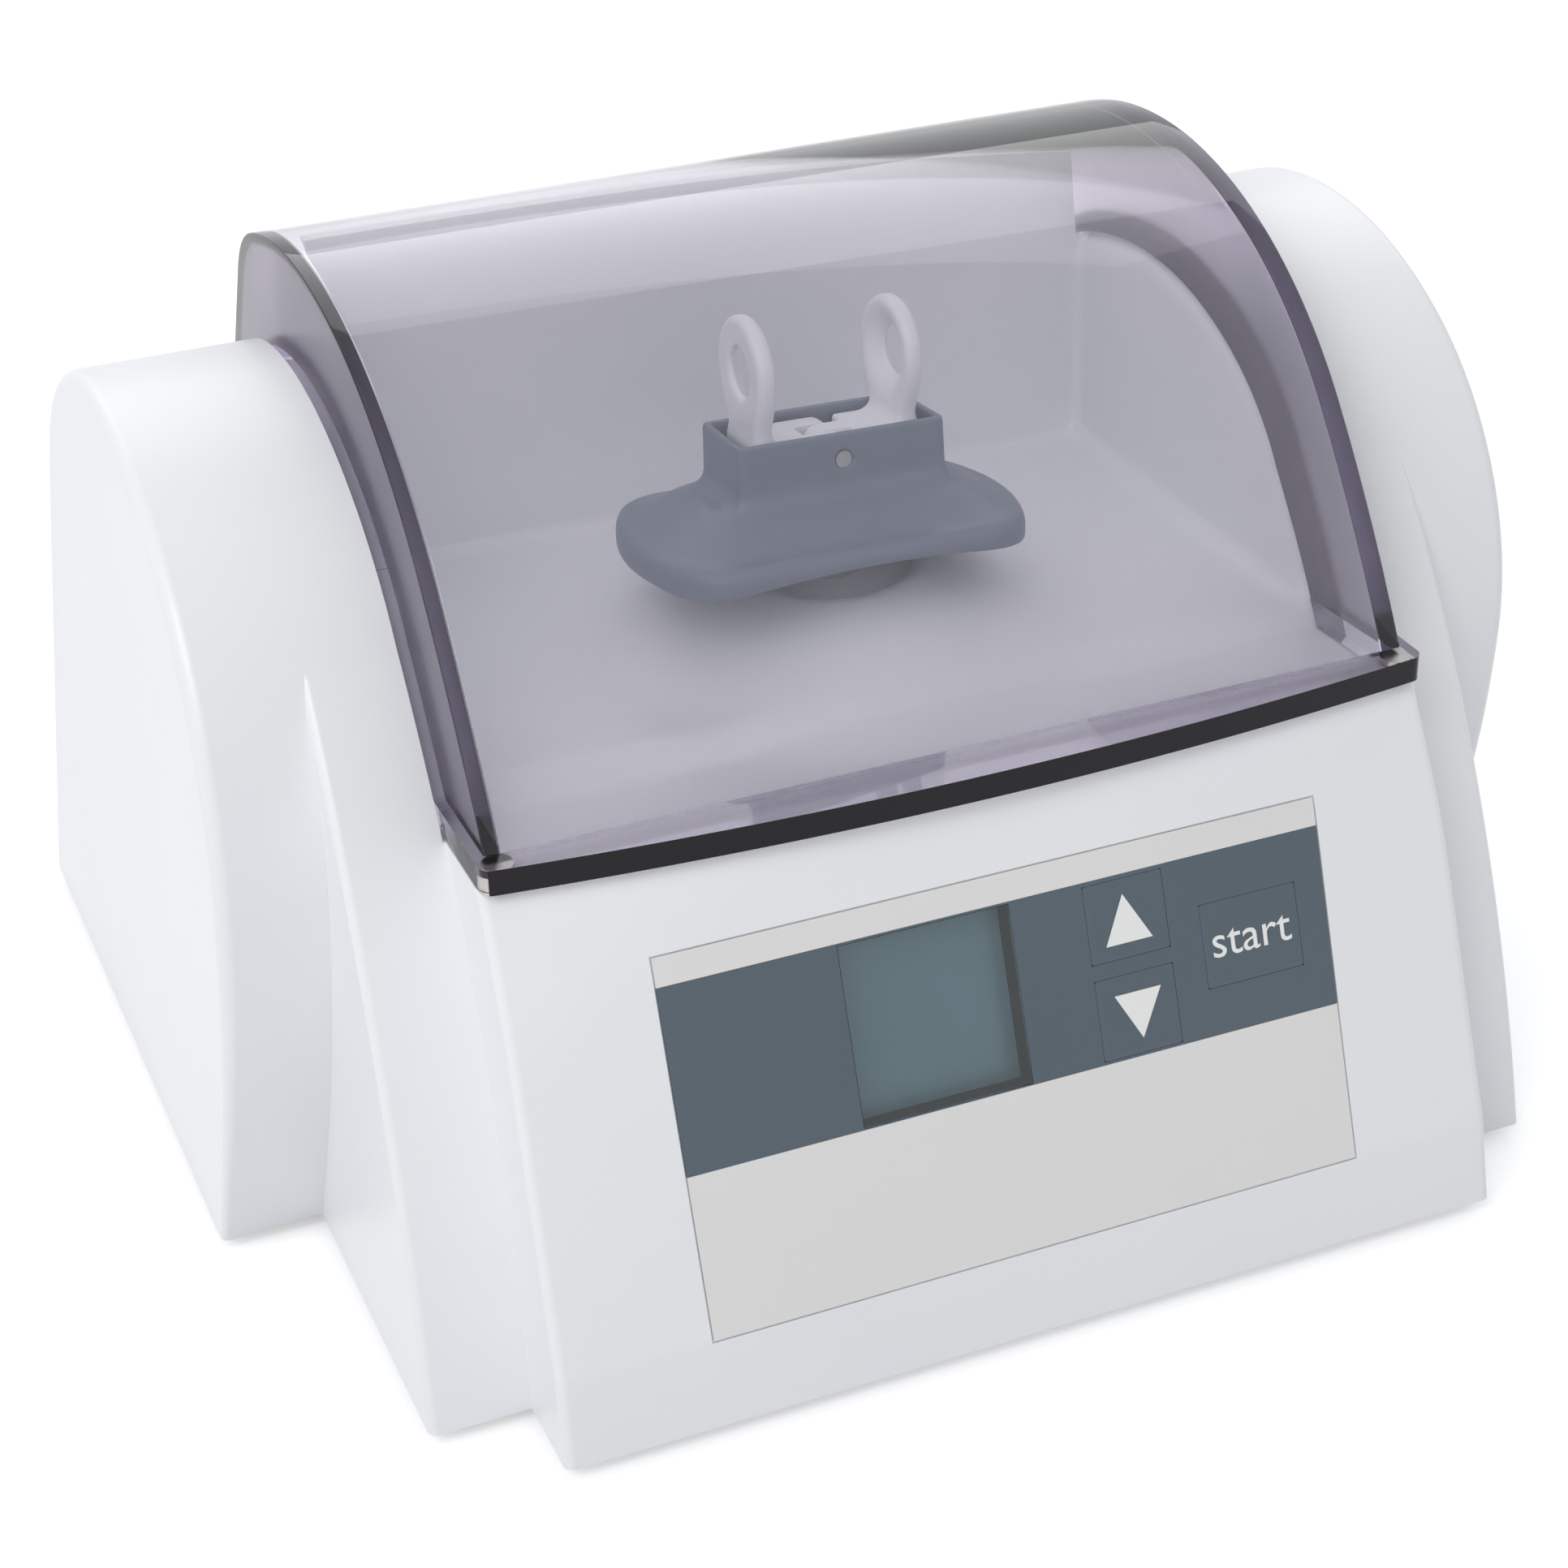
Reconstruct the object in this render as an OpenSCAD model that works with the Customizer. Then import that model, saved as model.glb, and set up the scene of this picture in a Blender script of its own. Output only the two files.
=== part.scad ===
// Capsule mixing shaker (dental amalgamator) in millimetres: front at -Y, +X to the right, +Z up.
// The origin is on the table, under the middle of the outline. Shapes below are drawn from the front
// base edge (y = 0) and the housing's lower edge (z = 0), and stand() puts them on the feet.

/* [Housing] */
// half width of the outer wings at the base
wing_half_w = 140.6; // [120:0.1:160]
// half width of the middle block at the base
mid_half_w = 120.1; // [104:0.1:132]
// half width of the front block at the base
front_half_w = 100; // [98:0.1:103]
// radius of the bow that sets the front block's upper corners back
front_bow_r = 937; // [700:1:1500]
// how much every side face leans in per millimetre of height
side_draft = 0.0286; // [0:0.0001:0.05]
// base depth from the front block to the rear edge
body_depth = 256.4; // [250:0.1:262]
// thickness of the moulded walls
wall = 3; // [2.4:0.1:3.6]
// distance from the front base edge back to the middle block
mid_front_y = 19.4; // [14:0.1:26]
// distance from the front base edge back to the wings
wing_front_y = 93.4; // [88:0.1:98]
// height of the table under the housing's lower edge
foot_h = 3; // [2:0.1:6]
// gap left round plates that sit inside the walls
plate_gap = 0.4; // [0.3:0.05:1]

/* [Chamber] */
// height of the chamber floor
floor_z = 107; // [104:0.5:110]
// height of the seat that the lid's front flange covers
seat_z = 103.2; // [102:0.1:106]
// half width between the chamber's side walls
chamber_half_w = 91.5; // [88:0.1:93]
// half width of the rebate that takes the lid's foot
rebate_half_w = 97.5; // [96:0.1:99]
// depth of that rebate below the arch
rebate_d = 5.5; // [4:0.1:8]
// where the chamber floor begins behind the seat
deck_front_y = 47; // [46:0.5:52]
// how far back the lower ceiling under the seat reaches inside the housing
seat_roof_y = 72; // [68:0.5:80]
// front face of the back wall
back_wall_y = 165; // [160:0.5:170]
// top of the back wall
back_wall_z = 178; // [170:0.5:179]
// radius of the domed rise in the floor, about the swing centre
dome_r = 84.4; // [80:0.1:90]
// radius of the opening in the dome for the stem
dome_hole_r = 18; // [16:0.5:22]
// top of the shelf behind the back wall
shelf_z = 128; // [120:0.5:130]

/* [Lid] */
// half width of the lid, whose side walls stand upright
lid_half_w = 94.85; // [94:0.05:96]
// thickness of the clear moulding's arched sheet
lid_wall = 2.4; // [2:0.1:3.5]
// thickness of its two side walls
lid_side_wall = 3.2; // [2.4:0.1:3.2]
// thickness of the front flange
flange_t = 5.2; // [3:0.1:6]
// half width of the flange and foot strips
flange_half_w = 97; // [95:0.1:97.1]
// plan radius of the flange's bowed front edge
flange_bow_r = 747; // [600:1:1500]
// how far the middle of the flange's front edge lies behind the front base edge
flange_front_y = 29.4; // [28:0.1:33]
// hinge axis, depth
hinge_y = 199; // [197:0.1:200]
// hinge axis, height
hinge_z = 139; // [137:0.1:141]
// radius of the hinge barrels
barrel_r = 5; // [4:0.1:6]
// hinge pin diameter
hinge_pin_d = 4; // [3:0.1:5]

/* [Control panel] */
// panel width
panel_w = 137.5; // [120:0.1:140]
// panel height along its slope
panel_h = 74.2; // [60:0.1:76]
// depth of the panel's lower edge behind the front base edge
panel_y = 3.36; // [3:0.01:4]
// height of the panel's lower edge
panel_z = 17.65; // [14:0.05:22]
// lean of the panel from the vertical
panel_lean = 19.4; // [15:0.1:25]
// lower edge of the dark band, measured up the panel
band_v = 32.2; // [28:0.1:36]
// height of the dark band
band_h = 36.3; // [30:0.1:40]
// window of the display: left edge, lower edge, width, height
window_box = [-33.1, 32.5, 35.1, 35.5];
// depth of the display glass behind the panel
display_depth = 6; // [4:0.1:8]
// up key: left edge, lower edge, width, height
up_box = [17.7, 52.3, 16.4, 15.1];
// down key: left edge, lower edge, width, height
down_box = [17.7, 33, 16.4, 15.6];
// start key: left edge, lower edge, width, height
start_box = [41.6, 41.9, 20.6, 16.4];
// travel of a key
key_travel = 0.4; // [0.2:0.05:0.8]

/* [Drive] */
// depth of the swing centre
swing_y = 108.2; // [105:0.1:112]
// height of the swing centre
swing_z = 36; // [33:0.5:40]
// radius of the ball-shaped hub on the shaft
hub_r = 17; // [14:0.5:19]
// outer radius of the ring that carries the holder
ring_r = 24; // [21:0.5:26]
// running gap between hub and ring
run_gap = 0.08; // [0.05:0.01:0.1]
// lean of the hub's end collars against the shaft
wobble = 5; // [3:0.5:7]
// motor shaft diameter
shaft_d = 8; // [6:0.5:10]
// motor outer radius
motor_r = 28; // [24:0.5:30]
// where the motor begins along the shaft
motor_x = 50; // [46:1:56]
// length of the motor
motor_l = 60; // [50:1:64]

/* [Holder] */
// height of the fork box's rim
fork_z = 148.4; // [146:0.1:151]
// tilt of the fork head about X, Y and Z
fork_tilt = [-5.5, 2.2, 1.8];
// fork box: width, depth, height
box_size = [45.6, 20, 12.7];
// fork box wall
box_wall = 1.6; // [1.2:0.1:2]
// outline radius of the skirt
skirt_r = 43; // [38:0.5:46]
// half depth between the skirt's flats
skirt_half_d = 26.5; // [22:0.5:30]
// height of the skirt's lower rim below the box rim
skirt_low = 24.7; // [22:0.1:27]
// half distance between the eyelets' middle planes
eye_x = 15.9; // [14:0.1:18]
// thickness of an eyelet
eye_t = 4; // [3:0.1:5]
// outer radius of an eyelet
eye_r = 11; // [9:0.1:12]
// height of the eyelet's centre above the box rim
eye_z = 11.9; // [10:0.1:15]
// diameter of the hole in an eyelet
eye_hole_d = 9.6; // [8:0.1:11]
// width of an arm below its eyelet
arm_w = 14.5; // [12:0.1:15.5]
// height of the pivot pin below the box rim
pin_drop = 5.4; // [4:0.1:7]
// pivot pin diameter
pin_d = 3.4; // [3:0.1:4]

/* [Rear] */
// centre of the mains inlet: x, height
inlet_at = [64, 36];
// centre of the power switch: x, height
switch_at = [20, 36];

/* [Hidden] */
$fn = 64;
eps = 0.01;
table_shift = [0, -body_depth / 2, foot_h];
big = 400;
swing = [0, swing_y, swing_z];
block_rear_y = 110;
wing_start_h = -22;
wing_arcs = [[2000, -21], [212.8, -4.9], [67, 57.2], [82.3, 101.8], [57.6, 156.7]];
mid_start_h = 11.2;
mid_arcs = [[348.8, 27.8], [244.3, 42.4]];
lid_start = [38.6, 105];
lid_start_h = 28;
lid_arcs = [[290.9, 38.7], [95.2, 83.8], [100.6, 109.1], [24.9, 151.5]];
lid_rear_z = 146;
rear_lean = 180 - wing_arcs[4][1];
key_stem_d = 6;
board_depth = 9.4;
liner_w = 1;
post_x = 84;
post_ys = [66, 178];
bush_xs = [-46, 108];
magnet_at = [92.8, 39.4];

housing();
base_pan();
foot_fl();
foot_fr();
foot_rl();
foot_rr();
base_screws();
panel_foil();
control_band();
display_lens();
display_gasket();
display_module();
control_board();
key_switches();
key_up();
key_down();
key_start();
reed_switch();
lid();
lid_magnets();
hinge_pin_l();
hinge_pin_r();
drive_frame();
motor_case();
motor_stator();
motor_windings();
motor_rotor();
drive_shaft();
wobble_hub();
balance_wheel();
bearing_l_outer();
bearing_l_inner();
bearing_r_outer();
bearing_r_inner();
holder_ring();
holder_stem();
guide_pin();
guide_block();
dome_shutter();
holder_body();
pivot_pin();
arm_left();
arm_right();
mount_bushes();
transformer_core();
transformer_coil();
run_capacitor();
capacitor_clip();
supply_board();
supply_parts();
mains_inlet();
inlet_pins();
fuse_drawer();
switch_frame();
switch_rocker();
mains_wires();

// Outlines in (y, z). A heading is the angle from straight up toward the rear.

function arc_run(p, h0, r, h1, n) = [for (i = [1:n]) let (h = h0 + (h1 - h0) * i / n)
    [p[0] + r * (cos(h0) - cos(h)), p[1] + r * (sin(h) - sin(h0))]];

function steps(h0, h1) = max(2, ceil(abs(h1 - h0) / 5));

function run(p, h, arcs, inset, i = 0) = i == len(arcs) ? [] :
    let (pts = arc_run(p, h, arcs[i][0] - inset, arcs[i][1], steps(h, arcs[i][1])))
    concat(pts, run(pts[len(pts) - 1], arcs[i][1], arcs, inset, i + 1));

function inset_start(p, h, inset) = [p[0] + inset * cos(h), p[1] - inset * sin(h)];

function at_height(p, h, z) = [p[0] + (z - p[1]) * tan(h), z];

function wing_outline(inset, base) = let (s = inset_start([wing_front_y, 0], wing_start_h, inset),
    pts = run(s, wing_start_h, wing_arcs, inset))
    concat([at_height(s, wing_start_h, base)], pts, [at_height(pts[len(pts) - 1], wing_arcs[4][1], base)]);

function mid_outline(inset, base) = let (s = inset_start([mid_front_y, 0], mid_start_h, inset),
    pts = run(s, mid_start_h, mid_arcs, inset))
    concat([at_height(s, mid_start_h, base)], pts, [[block_rear_y + 4, 140], [block_rear_y + 4, base]]);

function front_outline(inset, base) = let (run_y = inset / cos(panel_lean), top_z = 115)
    [[run_y + base * panel_y / panel_z, base], [panel_y + run_y, panel_z],
    [panel_y + run_y + (top_z - panel_z) * tan(panel_lean), top_z], [block_rear_y, top_z], [block_rear_y, base]];

function lid_outline(inset, base) = let (s = inset_start(lid_start, lid_start_h, inset),
    pts = run(s, lid_start_h, lid_arcs, inset))
    concat([at_height(s, lid_start_h, base)], pts, [at_height(pts[len(pts) - 1], lid_arcs[3][1], base)]);

// Placing helpers.

module stand() translate(table_shift) children();

module across(half_w) translate([-half_w, 0, 0]) rotate([90, 0, 90]) linear_extrude(2 * half_w) children();

module across_from(x0, x1) translate([x0, 0, 0]) rotate([90, 0, 90]) linear_extrude(x1 - x0) children();

module tapered(half_w) {
    intersection() {
        children();
        translate([0, big, 0]) rotate([90, 0, 0]) linear_extrude(2 * big)
            polygon([[-half_w - side_draft * 20, -20], [half_w + side_draft * 20, -20],
                [half_w - side_draft * 220, 220], [-half_w + side_draft * 220, 220]]);
    }
}

module box(x0, x1, y0, y1, z0, z1) translate([x0, y0, z0]) cube([x1 - x0, y1 - y0, z1 - z0]);

module both_sides() {
    children();
    mirror([1, 0, 0]) children();
}

module panel_frame() translate([0, panel_y, panel_z]) rotate([90 - panel_lean, 0, 0]) children();

module rear_frame(at) translate([at[0], body_depth - at[1] * tan(rear_lean), at[1]])
    rotate([90 - rear_lean, 0, 180]) children();

module fork_frame() translate([0, swing_y, fork_z]) rotate(fork_tilt) children();

module plate(b, grow, z0, z1) translate([b[0] - grow, b[1] - grow, z0])
    cube([b[2] + 2 * grow, b[3] + 2 * grow, z1 - z0]);

module along_x(x0, x1, r) translate([x0, 0, 0]) rotate([0, 90, 0]) cylinder(h = x1 - x0, r = r);

module tube_x(x0, x1, r_out, r_in) difference() {
    along_x(x0, x1, r_out);
    along_x(x0 - 1, x1 + 1, r_in);
}

// Housing.

module front_block(inset, base) {
    intersection() {
        tapered(front_half_w - inset) across(front_half_w + 20) polygon(front_outline(inset, base));
        front_bow(inset);
    }
}

// A large leaning cylinder that bows the front face toward its upper corners only.
module front_bow(inset) {
    bow_lean = panel_lean + 8.8;
    top_y = panel_y + (floor_z - panel_z) * tan(panel_lean);
    translate([0, top_y, floor_z]) rotate([-bow_lean, 0, 0]) translate([0, front_bow_r + inset, -big])
        cylinder(h = 2 * big, r = front_bow_r);
}

module blocks(inset, base) {
    tapered(wing_half_w - inset) across(wing_half_w + 20) polygon(wing_outline(inset, base));
    tapered(mid_half_w - inset) across(mid_half_w + 20) polygon(mid_outline(inset, base));
    front_block(inset, base);
}

module arch(inset) {
    polygon(wing_outline(inset, 0));
    polygon(mid_outline(inset, 0));
}

module housing_hollow() {
    thin_z = seat_z - wall;
    deep_z = floor_z - wall;
    intersection() {
        blocks(wall, -2);
        union() {
            box(-200, 200, -10, seat_roof_y, -5, thin_z);
            box(-200, 200, seat_roof_y, 300, -5, deep_z);
            both_sides() box(rebate_half_w + wall, 200, -10, 300, -5, 200);
            box(-rebate_half_w - wall - eps, rebate_half_w + wall + eps, back_wall_y + 2 * wall, 300, -5, shelf_z - wall);
        }
    }
}

module lid_space() {
    box(-chamber_half_w, chamber_half_w, deck_front_y, back_wall_y, floor_z, 220);
    box(-rebate_half_w, rebate_half_w, -10, deck_front_y + eps, seat_z, 220);
    difference() {
        box(-rebate_half_w, rebate_half_w, 0, back_wall_y + 10, seat_z, 220);
        across(rebate_half_w + 1) arch(rebate_d);
    }
    box(-rebate_half_w, rebate_half_w, back_wall_y + wall, 260, shelf_z, 220);
}

module dome_shell() {
    intersection() {
        difference() {
            translate(swing) sphere(r = dome_r);
            translate(swing) sphere(r = dome_r - 2.5);
        }
        box(-60, 60, swing_y - 60, swing_y + 60, seat_z - wall, 140);
    }
}

module back_wall() {
    translate([0, back_wall_y + wall, 0]) rotate([90, 0, 0]) linear_extrude(wall)
        polygon([[-chamber_half_w - 1, floor_z - wall], [chamber_half_w + 1, floor_z - wall],
            [chamber_half_w + 1, 150], [90.4, 152], [86, back_wall_z], [-86, back_wall_z], [-90.4, 152],
            [-chamber_half_w - 1, 150]]);
}

module hinge_brackets() {
    both_sides() for (x0 = [50, 74.4]) difference() {
        across_from(x0, x0 + 7.6) {
            polygon([[186, shelf_z - 1], [200.5, shelf_z - 1], [hinge_y + 3.5, hinge_z - 3.5],
                [hinge_y - 3.5, hinge_z + 3.5]]);
            translate([hinge_y, hinge_z]) circle(r = barrel_r);
        }
        translate([0, hinge_y, hinge_z]) along_x(x0 - 1, x0 + 9, hinge_pin_d / 2 + 0.02);
    }
}

module screw_posts() {
    for (x = [-post_x, post_x], y = post_ys) difference() {
        translate([x, y, 3]) cylinder(h = (y > back_wall_y ? shelf_z : floor_z) - wall - 2, d = 9);
        translate([x, y, 2]) cylinder(h = 16, d = 3);
    }
}

module panel_cuts() {
    panel_frame() {
        translate([-panel_w / 2 - 0.3, -0.3, -0.6]) cube([panel_w + 0.6, panel_h + 0.6, 8]);
        plate(window_box, liner_w + 0.3, -20, 1);
        for (b = [up_box, down_box, start_box]) {
            plate(b, 0.3, -1.6, 1);
            translate([b[0] + b[2] / 2, b[1] + b[3] / 2, -12]) cylinder(h = 12, d = key_stem_d + 1);
        }
    }
}

module rear_cuts() {
    rear_frame(inlet_at) translate([-14, -17, -12]) cube([28, 34, 20]);
    rear_frame(switch_at) translate([-11, -14, -12]) cube([22, 28, 20]);
}

module housing() color("white") stand() difference() {
    union() {
        difference() {
            blocks(0, 0);
            housing_hollow();
            lid_space();
            translate(swing) sphere(r = dome_r - 2.5);
        }
        dome_shell();
        back_wall();
        hinge_brackets();
        screw_posts();
    }
    translate([0, swing_y, floor_z]) cylinder(h = 30, r = dome_hole_r);
    panel_cuts();
    rear_cuts();
}

module base_pan() color("dimgray") stand() difference() {
    intersection() {
        blocks(wall + plate_gap, -2);
        box(-200, 200, -10, 300, 0, 2.5);
    }
    for (x = [-post_x, post_x], y = post_ys) translate([x, y, -1]) cylinder(h = 5, d = 3.6);
    for (x = [-62:8:-38], y = [196]) translate([x, y, -1]) cube([3, 30, 5]);
    for (x = [76:8:108]) translate([x, 92, -1]) cube([3, 34, 5]);
}

module foot(x, y) color("black") stand() translate([x, y, -foot_h]) {
    cylinder(h = foot_h, d1 = 14, d2 = 16);
}

module foot_fl() foot(-78, 30);

module foot_fr() foot(78, 30);

module foot_rl() foot(-112, 226);

module foot_rr() foot(112, 226);

module base_screws() color("silver") stand() for (x = [-post_x, post_x], y = post_ys) {
    translate([x, y, -2.2]) cylinder(h = 2.2, d = 6);
    translate([x, y, -eps]) cylinder(h = 14, d = 2.9);
}

// Control panel.

module panel_foil() color("ivory") stand() panel_frame() difference() {
    translate([-panel_w / 2, 0, -0.5]) cube([panel_w, panel_h, 0.5]);
    plate([-panel_w / 2, band_v, panel_w, band_h], 0.05, -1, 1);
}

module control_band() color("slategray") stand() panel_frame() difference() {
    translate([-panel_w / 2, band_v, -0.5]) cube([panel_w, band_h, 0.5]);
    for (b = [up_box, down_box, start_box]) plate(b, 0.3, -1, 1);
    plate(window_box, 0.1, -1, 1);
}

module display_lens() color("gray") stand() panel_frame() plate(window_box, 0, -0.5, -0.05);

module display_gasket() color("black") stand() panel_frame() difference() {
    union() {
        plate(window_box, 3, -display_depth, -4.2);
        plate(window_box, liner_w, -4.3, -0.6);
    }
    plate(window_box, 0.1, -display_depth - 1, 0);
}

module display_module() color("darkslategray") stand() panel_frame() {
    plate(window_box, 3, -display_depth - 2.8, -display_depth - eps);
}

module control_board() color("darkgreen") stand() panel_frame() difference() {
    translate([-50, 8, -board_depth - 1.6]) cube([118, 64, 1.6]);
    for (x = [-46, 64], y = [12, 68]) translate([x, y, -20]) cylinder(h = 20, d = 3.2);
}

module key_switches() color("black") stand() panel_frame() for (b = [up_box, down_box, start_box])
    translate([b[0] + b[2] / 2, b[1] + b[3] / 2, -board_depth]) {
        translate([-3, -3, 0]) cube([6, 6, 2]);
        cylinder(h = board_depth - display_depth - key_travel - 0.2, d = 3.4);
    }

module key(b) color("slategray") stand() panel_frame() {
    plate(b, 0, -0.6, 0.15);
    translate([b[0] + b[2] / 2, b[1] + b[3] / 2, -display_depth]) cylinder(h = display_depth - 0.3, d = key_stem_d);
}

module key_up() key(up_box);

module key_down() key(down_box);

module key_start() key(start_box);

module reed_switch() color("gray") stand() box(78, 92, 41.5, 44.5, seat_z - wall - 2.8, seat_z - wall - 0.1);

// Lid.

module lid_shell() {
    difference() {
        across(lid_half_w) polygon(lid_outline(0, seat_z));
        across(lid_half_w - lid_side_wall) polygon(lid_outline(lid_wall, 90));
    }
}

module lid_flange() {
    intersection() {
        difference() {
            box(-flange_half_w, flange_half_w, 20, 68, seat_z + 0.4, seat_z + 0.4 + flange_t);
            box(-chamber_half_w, chamber_half_w, 42.5, 80, 90, 120);
        }
        translate([0, flange_front_y + flange_bow_r, 90]) cylinder(h = 40, r = flange_bow_r);
    }
}

module lid_foot() {
    both_sides() across_from(chamber_half_w + 0.3, flange_half_w) intersection() {
        difference() {
            arch(1.8);
            arch(rebate_d - 0.5);
        }
        polygon([[50, seat_z + 0.4], [172, seat_z + 0.4], [172, 200], [50, 200]]);
    }
}

module lid_barrels() {
    both_sides() across_from(58, 74) {
        translate([hinge_y, hinge_z]) circle(r = barrel_r);
        polygon([[hinge_y, hinge_z], [hinge_y + barrel_r, hinge_z], [hinge_y + 3, lid_rear_z + 0.5],
            [hinge_y + 0.4, lid_rear_z + 0.5]]);
    }
}

module lid() color("slateblue", 0.4) stand() difference() {
    union() {
        difference() {
            lid_shell();
            across(120) arch(rebate_d - 0.5);
            box(-120, 120, 172, 260, 80, lid_rear_z);
            box(-120, 120, 0, 80, 80, seat_z + 0.4);
        }
        difference() {
            lid_flange();
            across(120) arch(rebate_d - 0.5);
        }
        lid_foot();
        lid_barrels();
    }
    translate([0, hinge_y, hinge_z]) along_x(-90, 90, hinge_pin_d / 2 + 0.05);
    both_sides() translate([magnet_at[0], magnet_at[1], seat_z]) cylinder(h = 3.4, d = 6.1);
}

module lid_magnets() color("silver") stand() both_sides()
    translate([magnet_at[0], magnet_at[1], seat_z + 0.5]) cylinder(h = 2.8, d = 6);

module hinge_pin(x0) color("silver") stand() translate([0, hinge_y, hinge_z]) along_x(x0, x0 + 32, hinge_pin_d / 2);

module hinge_pin_l() hinge_pin(-82);

module hinge_pin_r() hinge_pin(50);

// Drive.

module pedestal(x0, x1) difference() {
    union() {
        box(x0, x1, swing_y - 16, swing_y + 16, 5.4, swing_z);
        translate([0, swing_y, swing_z]) along_x(x0, x1, 16);
    }
    translate([0, swing_y, swing_z]) along_x(x0 - 1, x1 + 1, 11.02);
}

module drive_frame() color("gray") stand() {
    difference() {
        box(-52, 114, swing_y - 34, swing_y + 34, 5.5, 8.5);
        box(-12, 12, swing_y - 8, swing_y + 8, 4, 10);
        for (x = bush_xs, y = [-28, 28]) translate([x, swing_y + y, 4]) cylinder(h = 6, d = 6.6);
        box(motor_x - 2, motor_x + motor_l + 1, swing_y - 15, swing_y + 15, 4, 10);
    }
    pedestal(-38, -30);
    pedestal(30, 38);
}

module motor_case() color("silver") stand() translate(swing) {
    difference() {
        along_x(motor_x, motor_x + motor_l, motor_r - 0.2);
        along_x(motor_x + 2.5, motor_x + motor_l - 2.5, motor_r - 2.2);
        along_x(motor_x - 1, motor_x + motor_l - 4, shaft_d / 2 + 0.4);
    }
    difference() {
        box(motor_x + 8, motor_x + motor_l - 8, -23, 23, 8.6 - swing_z, 12.6 - swing_z);
        along_x(motor_x - 1, motor_x + motor_l + 1, motor_r - 0.2 - 0.5);
    }
}

module motor_stator() color("dimgray") stand() translate(swing)
    tube_x(motor_x + 16, motor_x + motor_l - 16, motor_r - 2.3, 16);

module motor_windings() color("chocolate") stand() translate(swing) {
    tube_x(motor_x + 6, motor_x + 15.9, motor_r - 4, 17);
    tube_x(motor_x + motor_l - 15.9, motor_x + motor_l - 6, motor_r - 4, 17);
}

module motor_rotor() color("darkgray") stand() translate(swing)
    tube_x(motor_x + 15, motor_x + motor_l - 15, 15.5, shaft_d / 2);

module drive_shaft() color("silver") stand() translate(swing) along_x(-56, motor_x + motor_l - 4.5, shaft_d / 2);

module wobble_hub() color("steelblue") stand() translate(swing) difference() {
    union() {
        intersection() {
            sphere(r = hub_r);
            along_x(-8.5, 8.5, 30);
        }
        rotate([0, wobble, 0]) along_x(-13, 13, 10);
    }
    along_x(-20, 20, shaft_d / 2);
}

module balance_wheel() color("gray") stand() translate(swing) difference() {
    union() {
        tube_x(-53, -45, 22, shaft_d / 2);
        tube_x(-45.1, -42, 9, shaft_d / 2);
    }
    for (a = [0:60:300]) rotate([a, 0, 0]) translate([0, 0, 15]) along_x(-60, -40, 4);
}

module race_outer(x0) color("silver") stand() translate(swing) difference() {
    along_x(x0, x0 + 7, 11);
    along_x(x0 - 1, x0 + 8, 8.6);
    translate([x0 + 3.5, 0, 0]) rotate([0, 90, 0]) rotate_extrude() translate([7.5, 0]) circle(r = 2.05);
}

module race_inner(x0) color("lightgray") stand() translate(swing) {
    tube_x(x0, x0 + 7, 6.3, shaft_d / 2);
    for (a = [0:45:315]) rotate([a, 0, 0]) translate([x0 + 3.5, 0, 7.5]) sphere(r = 1.97);
}

module bearing_l_outer() race_outer(-37.5);

module bearing_l_inner() race_inner(-37.5);

module bearing_r_outer() race_outer(30.5);

module bearing_r_inner() race_inner(30.5);

// Holder.

module holder_ring() color("gray") stand() translate(swing) {
    rotate([0, 90, 0]) rotate_extrude() difference() {
        translate([hub_r - 3, -7]) square([ring_r - hub_r + 3, 14]);
        circle(r = hub_r + run_gap);
    }
    box(-7, 7, -9, 9, hub_r + 3, 30);
    box(-5, 5, -5, 5, -ring_r - 1, -hub_r - 3);
}

module holder_stem() color("silver") stand() difference() {
    translate(swing) translate([0, 0, 30]) cylinder(h = fork_z - swing_z - 40, d = 15);
    translate(swing) translate([0, 0, 29]) cylinder(h = 6, d = 6);
    fork_frame() translate([-20, -20, 5 - skirt_low]) cube([40, 40, 40]);
}

module guide_pin() color("silver") stand() translate(swing) {
    translate([0, 0, -ring_r - 6]) cylinder(h = 5, d = 6);
}

module guide_block() color("ivory") stand() difference() {
    box(-11, 11, swing_y - 7, swing_y + 7, 2.5, 9.5);
    box(-7, 7, swing_y - 3.4, swing_y + 3.4, 4.5, 11);
}

module dome_shutter() color("gainsboro") stand() translate(swing) difference() {
    intersection() {
        sphere(r = dome_r - 3.1);
        translate([0, 0, 60]) cylinder(h = 40, r = 29);
    }
    sphere(r = dome_r - 5);
    translate([0, 0, 50]) cylinder(h = 50, d = 15);
}

module skirt_plan(r, half_d) intersection() {
    circle(r = r);
    square([2 * r, 2 * half_d], center = true);
}

module holder_body() color("slategray") stand() fork_frame() difference() {
    w = box_size[0];
    d = box_size[1];
    h = box_size[2];
    union() {
        translate([-w / 2, -d / 2, -h - 3]) cube([w, d, h + 3]);
        translate([0, 0, -skirt_low]) linear_extrude(7) skirt_plan(skirt_r, skirt_half_d);
        translate([0, 0, -skirt_low + 6.9]) linear_extrude(2) skirt_plan(skirt_r - 7, skirt_half_d - 4);
        translate([0, 0, -skirt_low + 8.8]) linear_extrude(2) skirt_plan(skirt_r - 14, skirt_half_d - 9);
    }
    translate([-w / 2 + box_wall, -d / 2 + box_wall, -h - 1]) cube([w - 2 * box_wall, d - 2 * box_wall, h + 2]);
    translate([0, 0, -skirt_low - 1]) linear_extrude(6 + eps) skirt_plan(skirt_r - 2.5, skirt_half_d - 2.5);
    translate([0, 0, -pin_drop]) rotate([90, 0, 0]) cylinder(h = 40, d = pin_d + 0.02, center = true);
}

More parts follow.
